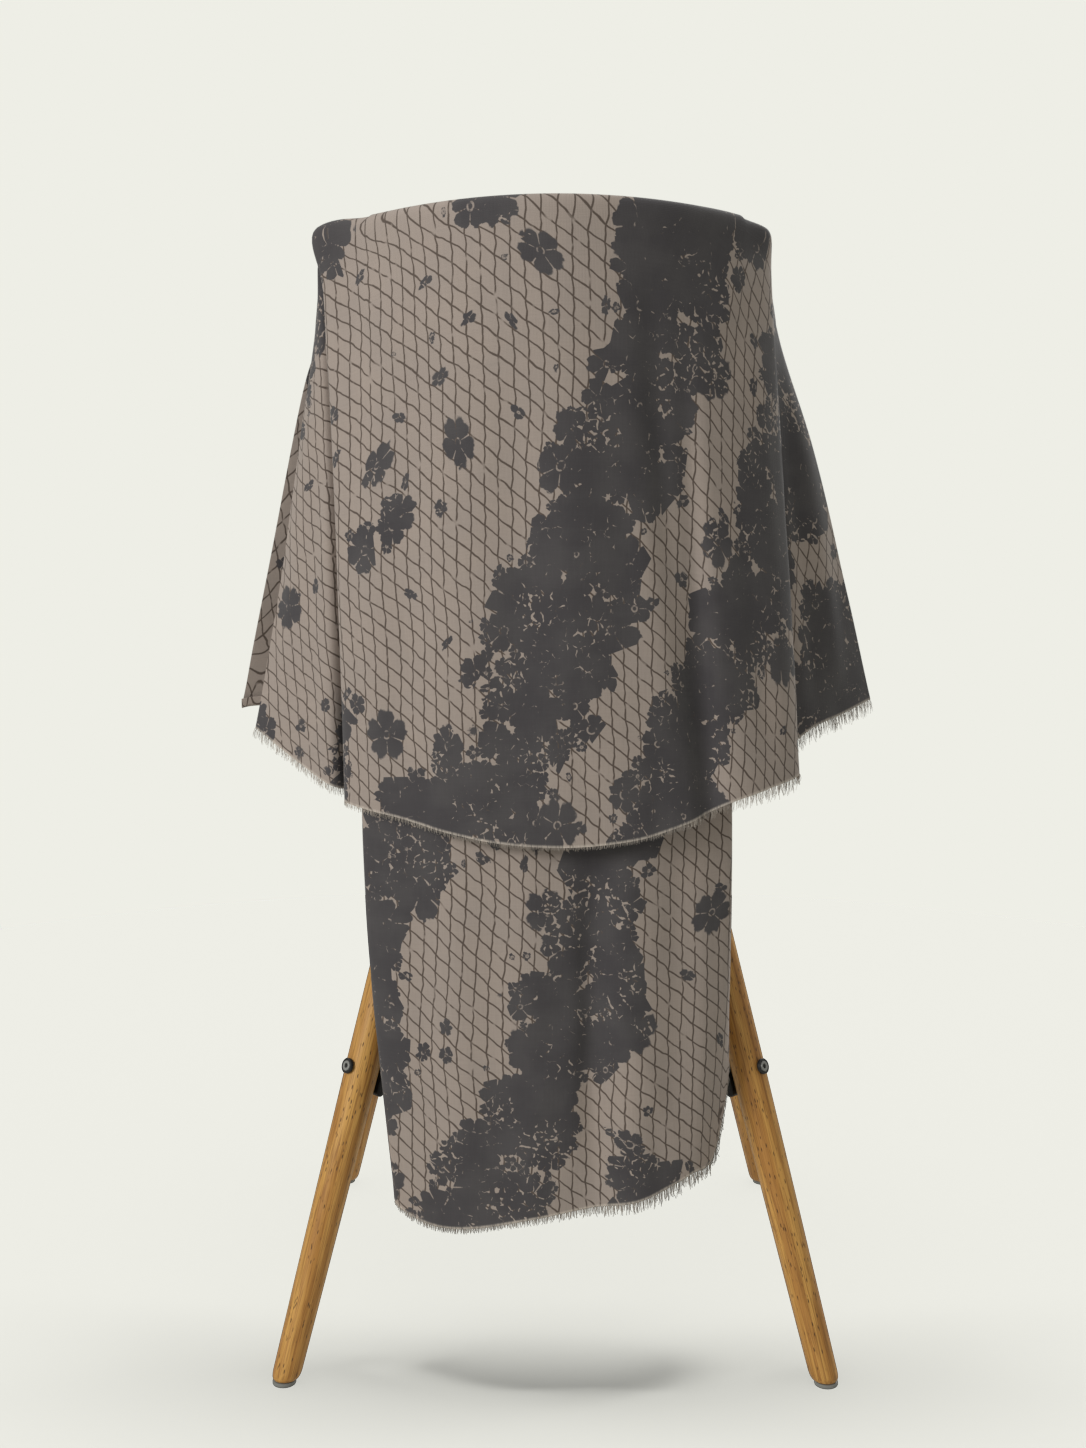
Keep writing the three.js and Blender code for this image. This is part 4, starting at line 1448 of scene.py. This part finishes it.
    def build_strut(self, corner: Corner, steel: bpy.types.Material) -> None:
        """Make a flat steel strut with bent corners from a leg's tab to the hub plate.

        Args:
            corner: Which leg.
            steel: The strut's material.
        """
        up, out, side = self.directions(corner)
        inset = self.leg_at_bolt + self.seam + self.strut_thick / 2
        low = self.axis(corner, self.bolt_z - self.tab_reach) - out * inset
        high = self.axis(corner, self.bolt_z + self.tab_reach) - out * inset
        inward = unit(low * [1, 1, 0])
        level = self.hub_z - self.strut_thick / 2 - self.seam
        bend = inward * self.hub_radius + [0, 0, level]
        end = inward * self.hub_gap + [0, 0, level]
        line = self._rounded_path([high, low + up * 1.5, bend, end], self.strut_bends)
        along = unit(np.gradient(line, axis=0))
        thin = unit(np.cross(along, side))
        half_w, half_t, ease_r = self.strut_width / 2, self.strut_thick / 2, self.strut_edge
        wide, deep = [], []
        for quarter, (qx, qy) in enumerate(((1, 1), (-1, 1), (-1, -1), (1, -1))):
            turn = np.linspace(0, math.pi / 2, 4) + quarter * math.pi / 2
            wide.extend(qx * (half_w - ease_r) + ease_r * np.cos(turn))
            deep.extend(qy * (half_t - ease_r) + ease_r * np.sin(turn))
        rings = [p + np.outer(wide, side) + np.outer(deep, n) for p, n in zip(line, thin)]
        make_piece(f"steel_strut_{corner.place}", np.concatenate(rings),
                   ring_faces(len(rings), len(wide)), "brace", f"strut_{corner.place}", (steel,), 40)

    def _rounded_path(self, corners: list[np.ndarray], radii: tuple[float, ...]) -> np.ndarray:
        """Path through corner points with each inner corner rounded over a set length.

        Args:
            corners: The path's points.
            radii: Length taken up by each inner corner's curve, on both sides of it.

        Returns:
            The rounded path's points.
        """
        path = [corners[0]]
        for before, at, after, cut in zip(corners, corners[1:], corners[2:], radii):
            start = at + unit(before - at) * cut
            end = at + unit(after - at) * cut
            for t in np.linspace(0, 1, 7):
                path.append((1 - t) ** 2 * start + 2 * t * (1 - t) * at + t**2 * end)
        path.append(corners[-1])
        return np.array(path)

    def build_hub(self, steel: bpy.types.Material) -> None:
        """Make the round plate that the four struts meet under.

        Args:
            steel: The plate's material.
        """
        r, h = self.hub_radius, self.hub_thick
        profile = ((r - 1.2, 0), (r - 0.3, 0.4), (r, 1.2), (r, h - 1.2), (r - 0.3, h - 0.4), (r - 1.2, h))
        self._turned("hub_disc", "hub_plate", "brace", np.array([0, 0, self.hub_z]), profile, 64, steel)

    def build(self) -> None:
        """Make the chair's materials and then every piece of it."""
        self.build_shell(self.moulded.material())
        oak, nylon, steel = (finish.material() for finish in (self.oak, self.nylon, self.steel))
        bolt_head = (self.collar.material(), self.socket.material())
        for corner in Corner:
            self.build_leg(corner, oak)
            self.build_glide(corner, nylon)
            self.build_bolt(corner, bolt_head)
            self.build_strut(corner, steel)
        self.build_hub(steel)


class Reach(Enum):
    """What a studio light falls on."""

    PIECES = "pieces"
    FLOOR = "floor"
    BARE_FLOOR = "floor with no shadow on it"


@dataclass(frozen=True)
class SoftBox:
    """A rectangular studio light."""

    name: str
    place: tuple[float, float, float]
    target: tuple[float, float, float]
    size: tuple[float, float]
    power: float
    reach: Reach = Reach.PIECES

    def build(self, floor: bpy.types.Object, hanging: list[bpy.types.Object]) -> None:
        """Hang the light, turn it to its target and say what it falls on.

        Args:
            floor: The floor, which a light for the pieces alone leaves out.
            hanging: The cloth that a light for the floor alone is shaded by.
        """
        data = bpy.data.lights.new(self.name, "AREA")
        data.shape = "RECTANGLE"
        data.size, data.size_y = self.size
        data.energy = self.power
        lamp = bpy.data.objects.new(self.name, data)
        lamp.location = self.place
        lamp.rotation_euler = (Vector(self.target) - Vector(self.place)).to_track_quat("-Z", "Y").to_euler()
        bpy.context.scene.collection.objects.link(lamp)
        lit = bpy.data.collections.new(f"{self.name}_falls_on")
        lit.objects.link(floor)
        only_floor = self.reach is not Reach.PIECES
        lit.collection_objects[0].light_linking.link_state = "INCLUDE" if only_floor else "EXCLUDE"
        lamp.light_linking.receiver_collection = lit
        if only_floor:
            shading = bpy.data.collections.new(f"{self.name}_shaded_by")
            for piece in (hanging if self.reach is Reach.FLOOR else [floor]):
                shading.objects.link(piece)
            lamp.light_linking.blocker_collection = shading


@dataclass
class Studio:
    """Camera, pale floor and soft lights."""

    camera_place: tuple[float, float, float] = (-0.004, -1.367, 0.638)
    focal_pixels: float = 1688.0
    tilt: float = 7.13
    turn: float = 0.24
    backdrop: str = "eeeee6"
    floor_radius: float = 1.45
    floor_colour: str = "868681"
    room_light: float = 0.49
    lights: tuple[SoftBox, ...] = (
        SoftBox("key_box", (-2.0, -2.05, 1.8), (0, 0, 0.55), (1.2, 1.2), 56),
        SoftBox("far_box", (1.7, 2.1, 1.9), (0, 0, 0.5), (1.5, 1.5), 52),
        SoftBox("top_box", (0.0, 0.2, 2.6), (0, 0, 0), (1.2, 1.2), 8),
        SoftBox("floor_box", (0.0, -0.17, 2.0), (0, -0.17, 0), (0.95, 0.28), 70, Reach.FLOOR),
        SoftBox("floor_fill", (0.0, -0.17, 2.0), (0, -0.17, 0), (1.0, 1.0), 22, Reach.BARE_FLOOR),
    )

    def build_camera(self) -> None:
        """Place the camera at the photograph's viewing angle."""
        data = bpy.data.cameras.new("camera")
        data.sensor_width = 36.0
        data.lens = self.focal_pixels * data.sensor_width / PHOTO_HEIGHT
        camera = bpy.data.objects.new("camera", data)
        camera.location = self.camera_place
        camera.rotation_euler = (math.radians(90 - self.tilt), 0, math.radians(self.turn))
        bpy.context.scene.collection.objects.link(camera)
        bpy.context.scene.camera = camera

    def build_floor(self) -> bpy.types.Object:
        """Lay a round floor that shows only the shadows on it over the backdrop.

        Returns:
            The floor.
        """
        rings, sides = 24, 96
        section = circle(sides, [1, 0, 0], [0, 1, 0])
        points = np.concatenate([section * r for r in np.linspace(0.02, self.floor_radius, rings)])
        mesh = bpy.data.meshes.new("floor")
        faces = [tuple(range(sides))] + ring_faces(rings, sides, capped=False)
        mesh.from_pydata(points.tolist(), [], faces)
        floor = bpy.data.objects.new("floor", mesh)
        bpy.context.scene.collection.objects.link(floor)
        pale = Wiring("pale_floor").finish(srgb(self.floor_colour), 0.95, specular_ior_level=0.1)
        mesh.materials.append(pale)
        floor.is_shadow_catcher = True
        return floor

    def build_world(self) -> None:
        """Show the pale backdrop, and fill the room with a weaker light of its colour."""
        world = bpy.data.worlds.new("studio")
        world.use_nodes = True
        tree = world.node_tree
        background = tree.nodes["Background"]
        background.inputs["Color"].default_value = srgb(self.backdrop)
        seen = tree.nodes.new("ShaderNodeLightPath").outputs["Is Camera Ray"]
        strength = tree.nodes.new("ShaderNodeMapRange")
        strength.inputs["To Min"].default_value = self.room_light
        tree.links.new(seen, strength.inputs["Value"])
        tree.links.new(strength.outputs["Result"], background.inputs["Strength"])
        bpy.context.scene.world = world
        bpy.context.scene.view_settings.view_transform = "Standard"

    def build(self, hanging: list[bpy.types.Object]) -> None:
        """Set up the floor, the room's light and the lamps round the hanging cloth.

        Args:
            hanging: The cloth whose shadow lies on the floor.
        """
        floor = self.build_floor()
        self.build_world()
        for light in self.lights:
            light.build(floor, hanging)


def build_shawl() -> list[bpy.types.Object]:
    """Returns:
        The layer that hangs lowest, whose shadow lies on the floor.
    """
    outer_cloth = FlowerPrint("printed_cloth").material()
    inner_cloth = FlowerPrint("printed_cloth_inner", drift_phase=0.55,
                              open_ground=((0.11, 0.86, 0.10), (0.105, 0.70, 0.09))).material()
    thread = FlowerPrint("loose_thread", threads=True).material()
    outer = ShawlLayer("shawl_outer", "shawl_outer_layer", "shawl_outer", OUTER_FOLDS, OUTER_CREASES,
                       seat_off=(4.8, 6.4), foot_height=531.0, flat_start=-440.0, ripple=0.75,
                       turned_foot=2.2, pulls=OUTER_PULLS)
    inner = ShawlLayer("shawl_inner", "shawl_inner_layer", "shawl_inner", INNER_FOLDS, INNER_CREASES,
                       seat_off=(1.9, 2.0), foot_height=536.7, flat_start=640.0, ripple=0.9,
                       fall_rows=130, seat_rows=30)
    layers = []
    for layer, cloth, edges, cut in ((outer, outer_cloth, OUTER_EDGES, (0.64, 0.76)),
                                     (inner, inner_cloth, INNER_EDGES, (0.27, 1.04))):
        piece, grid, flat = layer.build(cloth)
        fringes = [edge.build(grid, flat, thread) for edge in edges]
        layers.append(piece)
    return layers[1:]


def main() -> None:
    """Build the studio, the shawl and the chair."""
    logging.basicConfig(level=logging.INFO, format="%(name)s: %(message)s")
    studio = Studio()
    studio.build_camera()
    studio.build(build_shawl())
    Chair().build()


if __name__ == "__main__":
    main()
